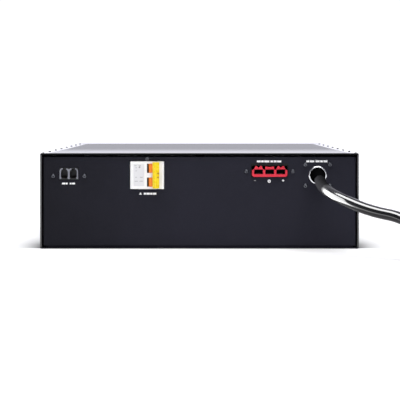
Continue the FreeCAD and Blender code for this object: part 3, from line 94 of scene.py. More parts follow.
class Surface:
    """A principled shader with its node tree at hand."""

    def __init__(self, name, roughness, metallic=0.0, specular=0.5):
        self.material = bpy.data.materials.new(name)
        self.material.use_nodes = True
        self.tree = self.material.node_tree
        self.shader = self.tree.nodes["Principled BSDF"]
        self.set("Roughness", roughness)
        self.set("Metallic", metallic)
        self.set("Specular IOR Level", specular)
        self.place = self.node("ShaderNodeTexCoord").outputs["Object"]

    def set(self, socket, amount):
        self.shader.inputs[socket].default_value = amount

    def feed(self, socket, source):
        self.link(source, self.shader.inputs[socket])

    def node(self, kind, **settings):
        made = self.tree.nodes.new(kind)
        for key, amount in settings.items():
            setattr(made, key, amount)
        return made

    def link(self, source, target):
        self.tree.links.new(source, target)

    def stretched(self, across, along, up):
        mapping = self.node("ShaderNodeMapping")
        mapping.inputs["Scale"].default_value = (across, along, up)
        self.link(self.place, mapping.inputs["Vector"])
        return mapping.outputs["Vector"]

    def noise(self, scale, detail=3.0, place=None):
        made = self.node("ShaderNodeTexNoise")
        made.inputs["Scale"].default_value = scale
        made.inputs["Detail"].default_value = detail
        self.link(place or self.place, made.inputs["Vector"])
        return made.outputs["Fac"]

    def range(self, source, low, high, start=0.0, end=1.0):
        made = self.node("ShaderNodeMapRange")
        limits = {"From Min": low, "From Max": high, "To Min": start, "To Max": end}
        for socket, amount in limits.items():
            made.inputs[socket].default_value = amount
        self.link(source, made.inputs["Value"])
        return made.outputs["Result"]

    def blend(self, factor, first, second):
        made = self.node("ShaderNodeMix", data_type="RGBA")
        self.link(factor, made.inputs["Factor"])
        for socket, tint in ((made.inputs[6], first), (made.inputs[7], second)):
            if isinstance(tint, tuple):
                socket.default_value = tint
            else:
                self.link(tint, socket)
        return made.outputs[2]

    def tint(self, first, second, scale):
        """Colour that drifts between two tints over the surface."""
        shade = self.blend(self.range(self.noise(scale), TINT_FROM, TINT_TO), first, second)
        self.feed("Base Color", shade)
        return shade

    def sheen(self, source, roughness, swing):
        """Roughness that wanders by swing to either side as source does."""
        self.feed("Roughness", self.range(source, GLOSS_FROM, GLOSS_TO,
                                          roughness - swing, roughness + swing))

    def axis(self, letter):
        spot = self.node("ShaderNodeSeparateXYZ")
        self.link(self.place, spot.inputs["Vector"])
        return spot.outputs[letter]

    def math(self, operation, *terms):
        made = self.node("ShaderNodeMath", operation=operation)
        for socket, term in zip(made.inputs, terms):
            if isinstance(term, (int, float)):
                socket.default_value = term
            else:
                self.link(term, socket)
        return made.outputs["Value"]

    def within(self, source, centre, half, soft=0.3 * MM):
        """One where source lies within half of centre, and nothing beyond."""
        distance = self.math("ABSOLUTE", self.math("SUBTRACT", source, centre))
        return self.range(distance, half, half - soft)

    def relief(self, height, strength, depth):
        bump = self.node("ShaderNodeBump")
        bump.inputs["Strength"].default_value = strength
        bump.inputs["Distance"].default_value = depth
        self.link(height, bump.inputs["Height"])
        self.feed("Normal", bump.outputs["Normal"])


def orange_peel(skin, roughness):
    """Sprayed paint: small grain with a slower waviness under it."""
    skin.relief(skin.math("ADD", skin.noise(1500.0, detail=2.0), skin.noise(300.0, detail=2.0)),
                strength=0.35, depth=0.06 * MM)
    skin.sheen(skin.noise(300.0), roughness, 0.06)


def bracket_coat():
    """Plain black paint on the sheets inside."""
    skin = Surface("black_bracket", 0.5, specular=0.3)
    skin.tint(colour(20, 20, 22), colour(15, 15, 17), 22.0)
    orange_peel(skin, 0.5)
    return skin.material


def panel_coat():
    """The rear panel's fine paint, with painted shade darkening its tone towards its left end."""
    skin = Surface("panel_paint", 0.62, specular=0.12)
    # Painted shade: the colour darkens towards the panel's left end, standing for light falling off
    # towards the left
    painted_shade_leftward = skin.range(skin.axis("X"), panel_low.x, -20 * MM)
    drift = skin.range(skin.noise(22.0), TINT_FROM, TINT_TO, -0.08, 0.08)
    skin.feed("Base Color", skin.blend(skin.math("ADD", painted_shade_leftward, drift),
                                       colour(24, 24, 31), colour(35, 35, 45)))
    orange_peel(skin, 0.62)
    return skin.material


# Where the lid's clear gloss begins and where it is full: inwards from the panel's side edges,
# and forward from the panel's face, where it comes to REAR_GLOSS
SIDE_GLOSS_FROM, SIDE_GLOSS_FULL = 13 * MM, 7 * MM
REAR_GLOSS_FROM, REAR_GLOSS_FULL = 240 * MM, 60 * MM
REAR_GLOSS = 0.5
CUT_EDGE_HEIGHT = 3 * MM


def cover_coat():
    """Black cover paint whose gloss rises along the lid's side and rear edges."""
    skin = Surface("cover_paint", 0.36)
    skin.tint(colour(17, 17, 19), colour(13, 13, 15), 22.0)
    skin.relief(skin.noise(1200.0, detail=2.0), strength=0.12, depth=0.04 * MM)
    # The side gloss is only on faces that look up, and not on the walls
    facing = skin.node("ShaderNodeSeparateXYZ")
    skin.link(skin.node("ShaderNodeNewGeometry").outputs["True Normal"], facing.inputs["Vector"])
    lying = skin.range(skin.math("ABSOLUTE", facing.outputs["X"]), 0.8, 0.5)
    side = skin.range(skin.math("ABSOLUTE", skin.axis("X")),
                      panel_high.x - SIDE_GLOSS_FROM, panel_high.x - SIDE_GLOSS_FULL)
    side = skin.math("MULTIPLY", side, lying)
    rear = skin.range(skin.axis("Y"), FACE_Y + REAR_GLOSS_FROM, FACE_Y + REAR_GLOSS_FULL,
                      0.0, REAR_GLOSS)
    # The lid's cut rear edge is dull
    cut = skin.math("MULTIPLY",
                    skin.range(skin.axis("Y"), cover_low.y + 0.25 * MM, cover_low.y + 0.1 * MM),
                    skin.range(skin.axis("Z"), cover_high.z - CUT_EDGE_HEIGHT,
                               cover_high.z - CUT_EDGE_HEIGHT + 1 * MM))
    polished = skin.math("SUBTRACT", 1.0, cut)
    skin.set("Coat Roughness", 0.08)
    skin.feed("Coat Weight", skin.math("MULTIPLY", skin.math("MAXIMUM", side, rear), polished))
    skin.feed("Specular IOR Level", skin.range(cut, 0.0, 1.0, 0.5, 0.03))
    return skin.material


def moulded(name, first, second, roughness, specular=0.5, grain=2600.0, strength=0.25):
    """Moulded plastic with a fine spark-eroded texture."""
    skin = Surface(name, roughness, specular=specular)
    skin.tint(first, second, 60.0)
    skin.relief(skin.noise(grain, detail=2.0), strength, depth=0.04 * MM)
    skin.sheen(skin.noise(240.0), roughness, 0.05)
    return skin.material


def metal(name, first, second, roughness, stretch=(40.0, 1.0, 40.0)):
    """Bare or plated metal with fine drawn lines along one direction."""
    skin = Surface(name, roughness, metallic=1.0)
    skin.tint(first, second, 35.0)
    lines = skin.noise(60.0, detail=4.0, place=skin.stretched(*stretch))
    skin.relief(lines, strength=0.2, depth=0.03 * MM)
    skin.sheen(lines, roughness, 0.07)
    return skin.material


def spangle(name, first, second, roughness):
    """Zinc plate: crystals of slightly different tone and gloss."""
    skin = Surface(name, roughness, metallic=1.0)
    cells = skin.node("ShaderNodeTexVoronoi")
    cells.inputs["Scale"].default_value = 160.0
    skin.link(skin.place, cells.inputs["Vector"])
    tone = skin.node("ShaderNodeSeparateColor")
    skin.link(cells.outputs["Color"], tone.inputs["Color"])
    skin.feed("Base Color", skin.blend(tone.outputs[0], first, second))
    skin.feed("Roughness", skin.range(tone.outputs[1], 0.0, 1.0, roughness - 0.08, roughness + 0.1))
    skin.relief(skin.noise(900.0), strength=0.1, depth=0.03 * MM)
    return skin.material


# The cord is matt near the gland and polished beyond, measured back from the panel
CORD_MATT_TO, CORD_POLISHED_FROM = 78 * MM, 92 * MM


def jacket():
    """Black jacket, matt where it leaves the gland and polished along its run."""
    skin = Surface("cord_jacket", 0.14)
    matt = skin.range(skin.axis("Y"), FACE_Y - CORD_POLISHED_FROM, FACE_Y - CORD_MATT_TO)
    skin.feed("Roughness", skin.range(matt, 0.0, 1.0, 0.14, 0.5))
    skin.feed("Specular IOR Level", skin.range(matt, 0.0, 1.0, 0.25, 0.0))
    skin.feed("Base Color", skin.blend(matt, colour(6, 6, 7), colour(9, 9, 10)))
    skin.relief(skin.noise(700.0, detail=2.0), strength=0.05, depth=0.04 * MM)
    return skin.material


def breaker_white():
    """White moulding, with painted shade in the levers' slots behind the nose."""
    skin = Surface("breaker_white", 0.38)
    shade = skin.tint(colour(247, 247, 246), colour(242, 242, 241), 60.0)
    skin.relief(skin.noise(2600.0, detail=2.0), strength=0.12, depth=0.04 * MM)
    inside = skin.within(skin.axis("X"), HUB.x, 6.9 * MM)
    painted_depth_shade = skin.range(skin.axis("Y"), NOSE_Y + 0.3 * MM, NOSE_Y + 1.4 * MM)
    # Painted shade: the slots' walls behind the nose are coloured dark orange-brown
    skin.feed("Base Color", skin.blend(skin.math("MULTIPLY", inside, painted_depth_shade), shade,
                                       colour(58, 30, 14)))
    return skin.material


# Half the size of the painted shade round each of the connector's three mouths
MOUTH_SHADE_X, MOUTH_SHADE_Z = 6.3 * MM, 3.5 * MM


def connector_red(name, with_painted_shade=False):
    """Red moulding; in the panel it carries painted shade round its mouths and behind their plane.
    """
    skin = Surface(name, 0.34)
    shade = skin.tint(colour(222, 32, 60), colour(208, 24, 50), 60.0)
    skin.relief(skin.noise(2600.0, detail=2.0), strength=0.15, depth=0.04 * MM)
    skin.sheen(skin.noise(240.0), 0.34, 0.05)
    if with_painted_shade:
        painted_depth_shade = skin.range(skin.axis("Y"), output_low.y + 0.3 * MM, output_low.y + 1.6 * MM)
        across = skin.math("WRAP", skin.math("SUBTRACT", skin.axis("X"), OUTPUT.x),
                           CELL_PITCH / 2, -CELL_PITCH / 2)
        painted_mouth_shade = skin.math("MULTIPLY", skin.within(across, 0.0, MOUTH_SHADE_X, 0.5 * MM),
                            skin.within(skin.axis("Z"), OUTPUT.z - 0.4 * MM, MOUTH_SHADE_Z, 0.5 * MM))
        painted_shade = skin.math("MAXIMUM", painted_depth_shade, painted_mouth_shade)
        # Painted shade: near-black red round the mouths and behind their plane, with its reflection
        # turned down
        skin.feed("Base Color", skin.blend(painted_shade, shade, colour(20, 4, 7)))
        skin.feed("Specular IOR Level", skin.range(painted_shade, 0.0, 1.0, 0.5, 0.04))
    return skin.material


def circuit_board():
    """Green solder mask with copper tracks showing faintly and gold pads."""
    skin = Surface("circuit_board", 0.35)
    tracks = skin.node("ShaderNodeTexBrick", offset=0.3)
    settings = {
        "Scale": 240.0, "Mortar Size": 0.035, "Color1": colour(18, 84, 48),
        "Color2": colour(20, 92, 52), "Mortar": colour(58, 138, 82),
    }
    for socket, amount in settings.items():
        tracks.inputs[socket].default_value = amount
    skin.link(skin.place, tracks.inputs["Vector"])
    pads = skin.node("ShaderNodeTexVoronoi")
    pads.inputs["Scale"].default_value = 420.0
    skin.link(skin.place, pads.inputs["Vector"])
    pad = skin.range(pads.outputs["Distance"], 0.10, 0.13, 1.0, 0.0)
    skin.feed("Base Color", skin.blend(pad, tracks.outputs["Color"], colour(198, 168, 92)))
    skin.relief(tracks.outputs["Fac"], strength=0.3, depth=0.05 * MM)
    return skin.material


def ink(name, level):
    """Screen-printed ink, a little uneven in its cover."""
    skin = Surface(name, 0.55, specular=0.2)
    skin.tint(colour(level, level, level), colour(level - 8, level - 7, level - 5), 800.0)
    skin.relief(skin.noise(4000.0), strength=0.15, depth=0.02 * MM)
    return skin.material


materials = {
    "cover_paint": cover_coat(),
    "panel_paint": panel_coat(),
    "zinc_steel": spangle("zinc_steel", colour(176, 180, 184), colour(206, 208, 210), 0.36),
    "black_bracket": bracket_coat(),
    "bezel_plastic": moulded("bezel_plastic", colour(30, 30, 34), colour(25, 25, 29), 0.5),
    "battery_case": moulded("battery_case", colour(58, 60, 64), colour(52, 54, 58), 0.55),
    "copper": metal("copper", colour(214, 160, 118), colour(198, 142, 100), 0.3),
    "socket_shield": moulded("socket_shield", colour(18, 18, 20), colour(14, 14, 16), 0.45),
    "gold": metal("gold", colour(226, 190, 104), colour(210, 172, 88), 0.22),
    "circuit_board": circuit_board(),
    "breaker_white": breaker_white(),
    "lever_orange": moulded("lever_orange", colour(250, 138, 34), colour(244, 126, 26), 0.3,
                            strength=0.1),
    "tie_yellow": moulded("tie_yellow", colour(255, 226, 24), colour(253, 218, 16), 0.28,
                          strength=0.1),
    "connector_red": connector_red("connector_red"),
    "connector_red_painted_shade": connector_red("connector_red_painted_shade", with_painted_shade=True),
    "bright_ring": metal("bright_ring", colour(236, 237, 240), colour(226, 228, 232), 0.2,
                         stretch=(1.0, 60.0, 1.0)),
    "black_rubber": moulded("black_rubber", colour(12, 12, 13), colour(9, 9, 10), 0.62,
                            specular=0.2),
    "fuse_body": moulded("fuse_body", colour(214, 208, 190), colour(204, 197, 178), 0.45),
    "fuse_base": moulded("fuse_base", colour(28, 28, 30), colour(22, 22, 24), 0.5),
    "black_screw": metal("black_screw", colour(96, 98, 104), colour(80, 82, 88), 0.22),
    "zinc_screw": metal("zinc_screw", colour(190, 192, 196), colour(174, 177, 182), 0.3),
    "cord_jacket": jacket(),
    "cord_sleeve": moulded("cord_sleeve", colour(8, 8, 9), colour(6, 6, 7), 0.5,
                           specular=0.0, grain=900.0, strength=0.2),
    "white_ink": ink("white_ink", 250),
    "dim_ink": ink("dim_ink", 168),
    "label_grey": moulded("label_grey", colour(226, 226, 228), colour(221, 221, 224), 0.5,
                          strength=0.05),
    "label_mark": ink("label_mark", 168),
    # Painted shade: dark orange-brown for the two small recesses in the yellow bar
    "recess_shade_brown": moulded("recess_shade_brown", colour(176, 92, 8), colour(160, 80, 6), 0.4),
    "rim_silver": metal("rim_silver", colour(150, 152, 160), colour(132, 134, 142), 0.34),
    # Painted shade: the copper and gold contacts deep in their sockets get a dark tone for the
    # shade they lie in
    "contact_painted_shade": metal("contact_painted_shade", colour(70, 62, 56), colour(56, 50, 46), 0.5),
}

# Nodes whose look differs from that of their material slot, here by painted shade
OWN_MATERIAL = {
    "output_housing": "connector_red_painted_shade", "output_contacts": "contact_painted_shade",
    "jack_contacts": "contact_painted_shade",
}

for part in frame["record"]["subparts"]:
    thing = nodes[part["node"]]
    thing.data.materials.clear()
    thing.data.materials.append(materials[OWN_MATERIAL.get(part["node"], part["material_slot"])])
    thing.data.polygons.foreach_set("use_smooth", [True] * len(thing.data.polygons))

# Width of the rounded edges in millimetres, by node or by the first word of its name
EDGE_WIDTHS = {
    "rear_panel": 0.25, "base_tray": 0.25, "front_bezel": 0.8, "gland_ring": 0.5,
    "output_housing": 0.18, "plug_housing": 0.35, "breaker_tie_bar": 0.5,
    "breaker_pole_lower": 0.4, "breaker_pole_upper": 0.4, "breaker_lever_lower": 0.3,
    "breaker_lever_upper": 0.3, "drawer_screws": 0.2, "fuse_block": 0.6, "battery": 0.7,
    "drawer": 0.25,
}
OTHER_EDGES = 0.2
EDGE_ANGLE = math.radians(32)


def soften(thing, width):
    """Rounds the edges of a node and evens its shading over its flat faces."""
    weld = thing.modifiers.new("weld", "WELD")
    weld.merge_threshold = 0.01 * MM
    bevel = thing.modifiers.new("bevel", "BEVEL")
    bevel.width = width * MM
    bevel.segments = 2
    bevel.limit_method = "ANGLE"
    bevel.angle_limit = EDGE_ANGLE
    shade = thing.modifiers.new("shade", "WEIGHTED_NORMAL")
    shade.keep_sharp = True
    shade.weight = 90


for name, thing in nodes.items():
    first_word = name.split("_")[0]
    soften(thing, EDGE_WIDTHS.get(name, EDGE_WIDTHS.get(first_word, OTHER_EDGES)))


# Flat shapes standing just proud of a face. Their outlines lie in the XZ plane, and their points
# are given in millimetres from the middle of the piece that they belong to.

def beside(middle, *offsets):
    return [(middle.x + across * MM, middle.z + up * MM) for across, up in offsets]


def rounded(middle, left, down, right, up, radius, steps=5):
    """A rectangle with round corners."""
    # Just under half of the short side, so that no two points fall together
    radius = min(radius, (right - left) / 2.001, (up - down) / 2.001)
    corners = []
    centres = (
        (right - radius, up - radius), (left + radius, up - radius),
        (left + radius, down + radius), (right - radius, down + radius),
    )
    for quarter, (x, z) in enumerate(centres):
        for step in range(steps + 1):
            angle = math.pi / 2 * (quarter + step / steps)
            corners.append((x + radius * math.cos(angle), z + radius * math.sin(angle)))
    return beside(middle, *corners)


def bar(middle, left, right, up, height, radius=0.3):
    return rounded(middle, left, up - height / 2, right, up + height / 2, radius)


def disc(middle, across, up, radius, steps=32):
    turns = [2 * math.pi * step / steps for step in range(steps)]
    return beside(middle, *[(across + radius * math.cos(turn), up + radius * math.sin(turn))
                            for turn in turns])


def plate(name, outlines, face_y, thick, material_name, bevel=0.0, body="chassis"):
    """A plate between face_y and thick in front of it; inner outlines become holes."""
    shape = bpy.data.curves.new(name, "CURVE")
    shape.dimensions = "2D"
    shape.fill_mode = "BOTH"
    shape.extrude = thick / 2
    shape.bevel_depth = bevel
    shape.bevel_resolution = 2
    for corners in outlines:
        line = shape.splines.new("POLY")
        line.points.add(len(corners) - 1)
        for point, (x, z) in zip(line.points, corners):
            point.co = (x, z, 0, 1)
        line.use_cyclic_u = True
    drawn = bpy.data.objects.new(name + "_outline", shape)
    scene.collection.objects.link(drawn)
    bpy.context.view_layer.update()
    mesh = bpy.data.meshes.new_from_object(drawn)
    bpy.data.objects.remove(drawn)
    made = bmesh.new()
    made.from_mesh(mesh)
    bmesh.ops.remove_doubles(made, verts=made.verts, dist=0.002 * MM)
    for vertex in made.verts:
        x, z, out = vertex.co
        vertex.co = (x, face_y - thick / 2 + out, z)
    bmesh.ops.recalc_face_normals(made, faces=made.faces)
    made.to_mesh(mesh)
    made.free()
    mesh.name = name
    piece = bpy.data.objects.new(name, mesh)
    scene.collection.objects.link(piece)
    mesh.materials.clear()
    mesh.materials.append(materials[material_name])
    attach(piece, body)
    return piece


INK_THICK = 0.06 * MM


def printed(name, outlines, ink_name="white_ink"):
    """Ink on the rear panel."""
    plate(name, outlines, FACE_Y, INK_THICK, ink_name)


def mark_row(name, middle, left, right, up, height, gap, shares):
    """A row of plain printed bars from left to right, their lengths in proportion to shares."""
    room = (right - left) - gap * (len(shares) - 1)
    outlines = []
    for share in shares:
        length = room * share / sum(shares)
        outlines.append(bar(middle, left, left + length, up, height))
        left += length + gap
    printed(name, outlines)


# Marks in place of the printed words: plain bars of the same extent
for row in (
    ("jack_mark_left", JACK, -9.4, -1.7, -13.5, 2.3, 0.7, (3, 2)),
    ("jack_mark_right", JACK, 1.1, 8.4, -13.5, 2.3, 0.7, (2, 3)),
    ("breaker_mark", BREAKER, -4.7, 12.5, -25.5, 2.7, 0.5, (2, 3, 2, 3)),
    ("output_mark", OUTPUT, -17.4, -0.4, 13.7, 2.7, 0.7, (3, 2, 4)),
    ("output_mark_second", OUTPUT, 1.2, 16.1, 13.7, 2.7, 0.7, (2, 2, 3)),
    ("gland_mark", GLAND, -15.5, -4.5, 19.0, 2.7, 0.7, (2, 3)),
    ("gland_mark_second", GLAND, -2.9, 13.5, 19.0, 2.7, 0.7, (3, 2, 3)),
):
    mark_row(*row)
printed("breaker_mark_triangle", [beside(BREAKER, (-11.1, -26.7), (-7.3, -26.7), (-9.2, -23.6))])


# Polarity signs under the connector: minus, plus, and protective earth cut out of a disc
def polarity_signs():
    sign_up, minus_across, plus_across = -12.6, -20.1, 18.6
    minus_half, minus_height = 1.4, 0.9
    printed("minus_sign", [bar(OUTPUT, minus_across - minus_half, minus_across + minus_half,
                               sign_up, minus_height)], "dim_ink")
    reach, half = 1.6, 0.55
    quarter = ((reach, -half), (reach, half), (half, half))
    corners = []
    for turn in range(4):
        for x, z in quarter:
            for _ in range(turn):
                x, z = -z, x
            corners.append((plus_across + x, sign_up + z))
    printed("plus_sign", [beside(OUTPUT, *corners)])
    across, up, radius = -0.5, -13.5, 2.25
    stem_half, stem_low, stem_high, stroke, corner = 0.15, 0.1, 1.6, 0.3, 0.1
    holes = [rounded(OUTPUT, across - stem_half, up + stem_low, across + stem_half,
                     up + stem_high, corner)]
    for half, down in ((1.2, 0.1), (0.75, 0.75), (0.35, 1.35)):
        holes.append(bar(OUTPUT, across - half, across + half, up - down, stroke, corner))
    printed("earth_sign", [disc(OUTPUT, across, up, radius), *holes])


polarity_signs()


# Silvery rims of the two signal sockets: an outer bar at each side and one between them,
# each with a small foot and bending over its socket's shoulder, open at the key
def jack_rims():
    half_height = (jack_high.z - jack_low.z) / 2 / MM
    low, top = 0.8 - half_height, half_height - 0.2
    outer, inner = -12.6, -11.0
    side_bar = [
        (outer, low), (outer, top - 3.6), (outer + 1.0, top - 1.0), (outer + 3.7, top),
        (outer + 4.3, top - 1.4), (outer + 2.4, top - 2.2), (inner, top - 4.2),
        (inner, low + 2.6), (inner + 0.9, low + 1.9), (inner + 0.9, low + 0.6), (inner, low),
    ]
    mirrored = [(-across, up) for across, up in side_bar]
    half = 1.2
    arm = [
        (half, low), (half + 0.5, low + 0.6), (half + 0.5, low + 1.9), (half, low + 2.6),
        (half, top - 4.4), (half + 0.9, top - 2.6), (half + 2.6, top - 1.6),
        (half + 2.2, top - 0.2), (half + 0.2, top - 0.8), (0, top - 1.8),
    ]
    between = arm + [(-across, up) for across, up in reversed(arm[:-1])]
    plate("jack_rims", [beside(JACK, *outline) for outline in (side_bar, mirrored, between)],
          jack_low.y, 0.35 * MM, "rim_silver", bevel=0.06 * MM)


jack_rims()


# Breaker label: a bare light patch with plain bars and a disc
def breaker_label():
    thick, mark_thick = 0.08 * MM, 0.03 * MM
    plate("breaker_label", [rounded(BREAKER, -18.7, -14.9, -3.9, 15.2, radius=0.6)],
          NOSE_Y, thick, "label_grey")
    marks = [bar(BREAKER, left, right, up, height=0.7, radius=0.1) for left, right, up in (
        (-17.3, -14.5, 13.0), (-11.7, -8.5, 13.0), (-16.1, -14.0, 10.3), (-16.0, -14.2, 6.0),
        (-16.3, -14.1, -2.8), (-9.9, -5.9, -2.8), (-17.1, -12.7, -8.2), (-10.5, -5.9, -8.2))]
    marks.append(disc(BREAKER, -10.5, 10.9, radius=1.2))
    plate("breaker_label_marks", marks, NOSE_Y - thick, mark_thick, "label_mark")


breaker_label()


# Two small brown discs on the outer face of the yellow bar, painted shade for two small recesses in
# it; the bar turns with the levers
def tie_bar_recess_shade():
    bar_face, across, apart = 12.9 * MM, 1.1, 2.7
    origin = Vector((0, 0, 0))
    dots = [disc(origin, across, up, radius=1.15, steps=20) for up in (-apart, apart)]
    recess_shade = plate("tie_bar_recess_shade", dots, -bar_face, 0.1 * MM, "recess_shade_brown",
                  body="breaker_toggle")
    recess_shade.data.transform(Matrix.Translation(HUB) @ Matrix.Rotation(LEVER_LEAN, 4, "Z"))


tie_bar_recess_shade()


# The free cord: the same route as its solids, as one smooth line with its coil's turns.
# Its sizes and places are in millimetres, and at() turns them into metres.
def at(x, y, z):
    return Vector((x * MM, y * MM, z * MM))


CORD_DIAMETER = 15.0
GLAND_X, GLAND_Z, FACE = GLAND.x / MM, GLAND.z / MM, FACE_Y / MM
LYING = CORD_DIAMETER / 2 + 0.3
COIL_X, COIL_Y, COIL_RADIUS = 372.0, FACE - 128.0, 82.0
# The coil runs a turn and a quarter, and climbs onto its own first layer near the end
TURN_POINTS, TURNS = 16, 1.25
CLIMB_START, CLIMB_END, CLIMB = 130.0, 215.0, 14.8
ENTRY_WIDER, CLIMBED_TIGHTER = 0.4, 4.0
TAIL_X = COIL_X + COIL_RADIUS + 2.0


def coil_points():
    points = [at(COIL_X, COIL_Y - COIL_RADIUS - ENTRY_WIDER, LYING)]
    for step in range(1, int(TURN_POINTS * TURNS) + 1):
        turned = 360.0 * step / TURN_POINTS
        climb = min(1.0, max(0.0, (turned - CLIMB_START) / (CLIMB_END - CLIMB_START)))
        climb = climb * climb * (3 - 2 * climb)
        angle = math.radians(turned - 90)
        # The line passes inside its points, so they stand off by a polygon's corner
        radius = (COIL_RADIUS - CLIMBED_TIGHTER * climb) / math.cos(math.pi / TURN_POINTS)
        points.append(at(COIL_X + radius * math.cos(angle), COIL_Y + radius * math.sin(angle),
                         LYING + CLIMB * climb))
    return points


route = [
    at(GLAND_X, FACE + 1, GLAND_Z),
    at(GLAND_X, FACE - 27, GLAND_Z),
    at(GLAND_X - 1, FACE - 62, GLAND_Z - 11.5),
    at(GLAND_X + 16, FACE - 102, GLAND_Z - 24),
    at(GLAND_X + 58, FACE - 133, GLAND_Z - 41),
    at(GLAND_X + 96, FACE - 165, GLAND_Z - 46.5),
    at(GLAND_X + 120, FACE - 195, GLAND_Z - 71),
    at(GLAND_X + 164, COIL_Y - COIL_RADIUS + 0.5, LYING + 1.8),
    *coil_points(),
    at(TAIL_X - 3, COIL_Y + 28, LYING + 13),
    at(TAIL_X, COIL_Y + 66, LYING),
    at(TAIL_X, COIL_Y + 100, LYING),
]

cord_line = bpy.data.curves.new("input_cord", "CURVE")
cord_line.dimensions = "3D"
cord_line.resolution_u = 10
cord_line.bevel_depth = CORD_DIAMETER / 2 * MM
cord_line.bevel_resolution = 7
cord_line.use_fill_caps = True
run = cord_line.splines.new("NURBS")
run.points.add(len(route) - 1)
for point, where in zip(run.points, route):
    point.co = (*where, 1.0)
run.order_u = 3
run.use_endpoint_u = True
cord = bpy.data.objects.new("input_cord", cord_line)
scene.collection.objects.link(cord)
cord_line.materials.append(materials["cord_jacket"])
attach(cord, "chassis")
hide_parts("cord_lead", "cord_coil", "cord_tail")

# Tapered sleeve over the cord's first stretch, with its radii at even steps along it
SLEEVE_LENGTH = 46.0
SLEEVE_RADII = (9.0, 8.9, 8.6, 8.2, 7.9, 7.65)
SLEEVE_SIDES = 40


def sleeve_radius(travelled):
    """The sleeve's radius, in metres, at a distance along the cord."""
    share = travelled / (SLEEVE_LENGTH * MM) * (len(SLEEVE_RADII) - 1)
    index = min(int(share), len(SLEEVE_RADII) - 2)
    part = share - index
    return (SLEEVE_RADII[index] * (1 - part) + SLEEVE_RADII[index + 1] * part) * MM


def cord_spots():
    """The points of the cord's own line, from the gland outward."""
    drawn = bpy.data.objects.new("cord_line", cord_line.copy())
    drawn.data.bevel_depth = 0
    scene.collection.objects.link(drawn)
    bpy.context.view_layer.update()
    track = bpy.data.meshes.new_from_object(drawn)
    spots = [vertex.co.copy() for vertex in track.vertices]
    bpy.data.objects.remove(drawn)
    bpy.data.meshes.remove(track)
    return spots


def sleeve():
    """Rings across the cord's line, getting slimmer, with a cap at either end."""
    spots = cord_spots()
    turns = [2 * math.pi * side / SLEEVE_SIDES for side in range(SLEEVE_SIDES)]
    rings = []
    travelled = 0.0
    for here, there in zip(spots, spots[1:]):
        if travelled > SLEEVE_LENGTH * MM:
            break
        radius = sleeve_radius(travelled)
        ahead = (there - here).normalized()
        level = ahead.cross(Vector((0, 0, 1))).normalized()
        upward = level.cross(ahead)
        rings.append([here + (level * math.cos(turn) + upward * math.sin(turn)) * radius
                      for turn in turns])
        travelled += (there - here).length
    points = [tuple(point) for ring in rings for point in ring]
    faces = [tuple(reversed(range(SLEEVE_SIDES)))]
    for row in range(len(rings) - 1):
        start = row * SLEEVE_SIDES
        for side in range(SLEEVE_SIDES):
            after = (side + 1) % SLEEVE_SIDES
            faces.append((start + side, start + after,
                          start + SLEEVE_SIDES + after, start + SLEEVE_SIDES + side))
    faces.append(tuple((len(rings) - 1) * SLEEVE_SIDES + side for side in range(SLEEVE_SIDES)))
    mesh = bpy.data.meshes.new("cord_sleeve")
    mesh.from_pydata(points, [], faces)
    mesh.polygons.foreach_set("use_smooth", [len(face.vertices) == 4 for face in mesh.polygons])
    mesh.materials.append(materials["cord_sleeve"])
    piece = bpy.data.objects.new("cord_sleeve", mesh)
    scene.collection.objects.link(piece)
    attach(piece, "chassis")


sleeve()

# Surroundings: a pale floor, an even bright backdrop, and soft lamps over and in front
FLOOR_HALF = 6.0
FLOOR_Z = -0.2 * MM
# The painted shadow on the floor at the module's flanks: its depth at the wall, the distance over
# which it fades, and how far behind the panel it starts to weaken and is gone
FLANK_SHADE, FLANK_FADE = 0.97, 21 * MM
FLANK_WEAKER, FLANK_GONE = 60 * MM, 180 * MM


def floor_paper():
    """Matt pale paper with a painted soft shadow close to the module's flanks."""
    paper = Surface("floor_paper", 0.9, specular=0.0)
    pale = paper.tint((0.93, 0.93, 0.93, 1.0), (0.91, 0.91, 0.91, 1.0), 0.6)
    aside = paper.math("SUBTRACT", paper.math("ABSOLUTE", paper.axis("X")), panel_high.x)
    fade = paper.math("EXPONENT", paper.math("MULTIPLY", aside, -1 / FLANK_FADE))
    behind_panel = paper.range(paper.axis("Y"), FACE_Y - 1 * MM, FACE_Y + 6 * MM)
    back = paper.range(paper.axis("Y"), FACE_Y + FLANK_WEAKER, FACE_Y + FLANK_GONE,
                       FLANK_SHADE, 0.0)
    painted_shade = paper.math("MULTIPLY", fade, paper.math("MULTIPLY", behind_panel, back))
    painted_shade = paper.math("MULTIPLY", painted_shade, paper.range(aside, 0.0, 0.1 * MM))
    # Painted shadow: the paper's colour darkens towards black beside the module's flanks
    paper.feed("Base Color", paper.blend(painted_shade, pale, (0.0, 0.0, 0.0, 1.0)))
    return paper.material


def lay_floor():
    mesh = bpy.data.meshes.new("floor")
    corners = [(x * FLOOR_HALF, y * FLOOR_HALF, FLOOR_Z)
               for x, y in ((-1, -1), (1, -1), (1, 1), (-1, 1))]
    mesh.from_pydata(corners, [], [(0, 1, 2, 3)])
    mesh.materials.append(floor_paper())
    floor = bpy.data.objects.new("floor", mesh)
    scene.collection.objects.link(floor)


lay_floor()

scene.view_settings.view_transform = "Standard"
scene.view_settings.look = "None"
scene.view_settings.exposure = 0.0
scene.view_settings.gamma = 1.0

# Strength of the surroundings as the camera sees them, and as they light the module from behind
# it and from the camera's side, which gives the lid its grazing reflection
SEEN, BEHIND, BEFORE = 1.16, 1.36, 0.16


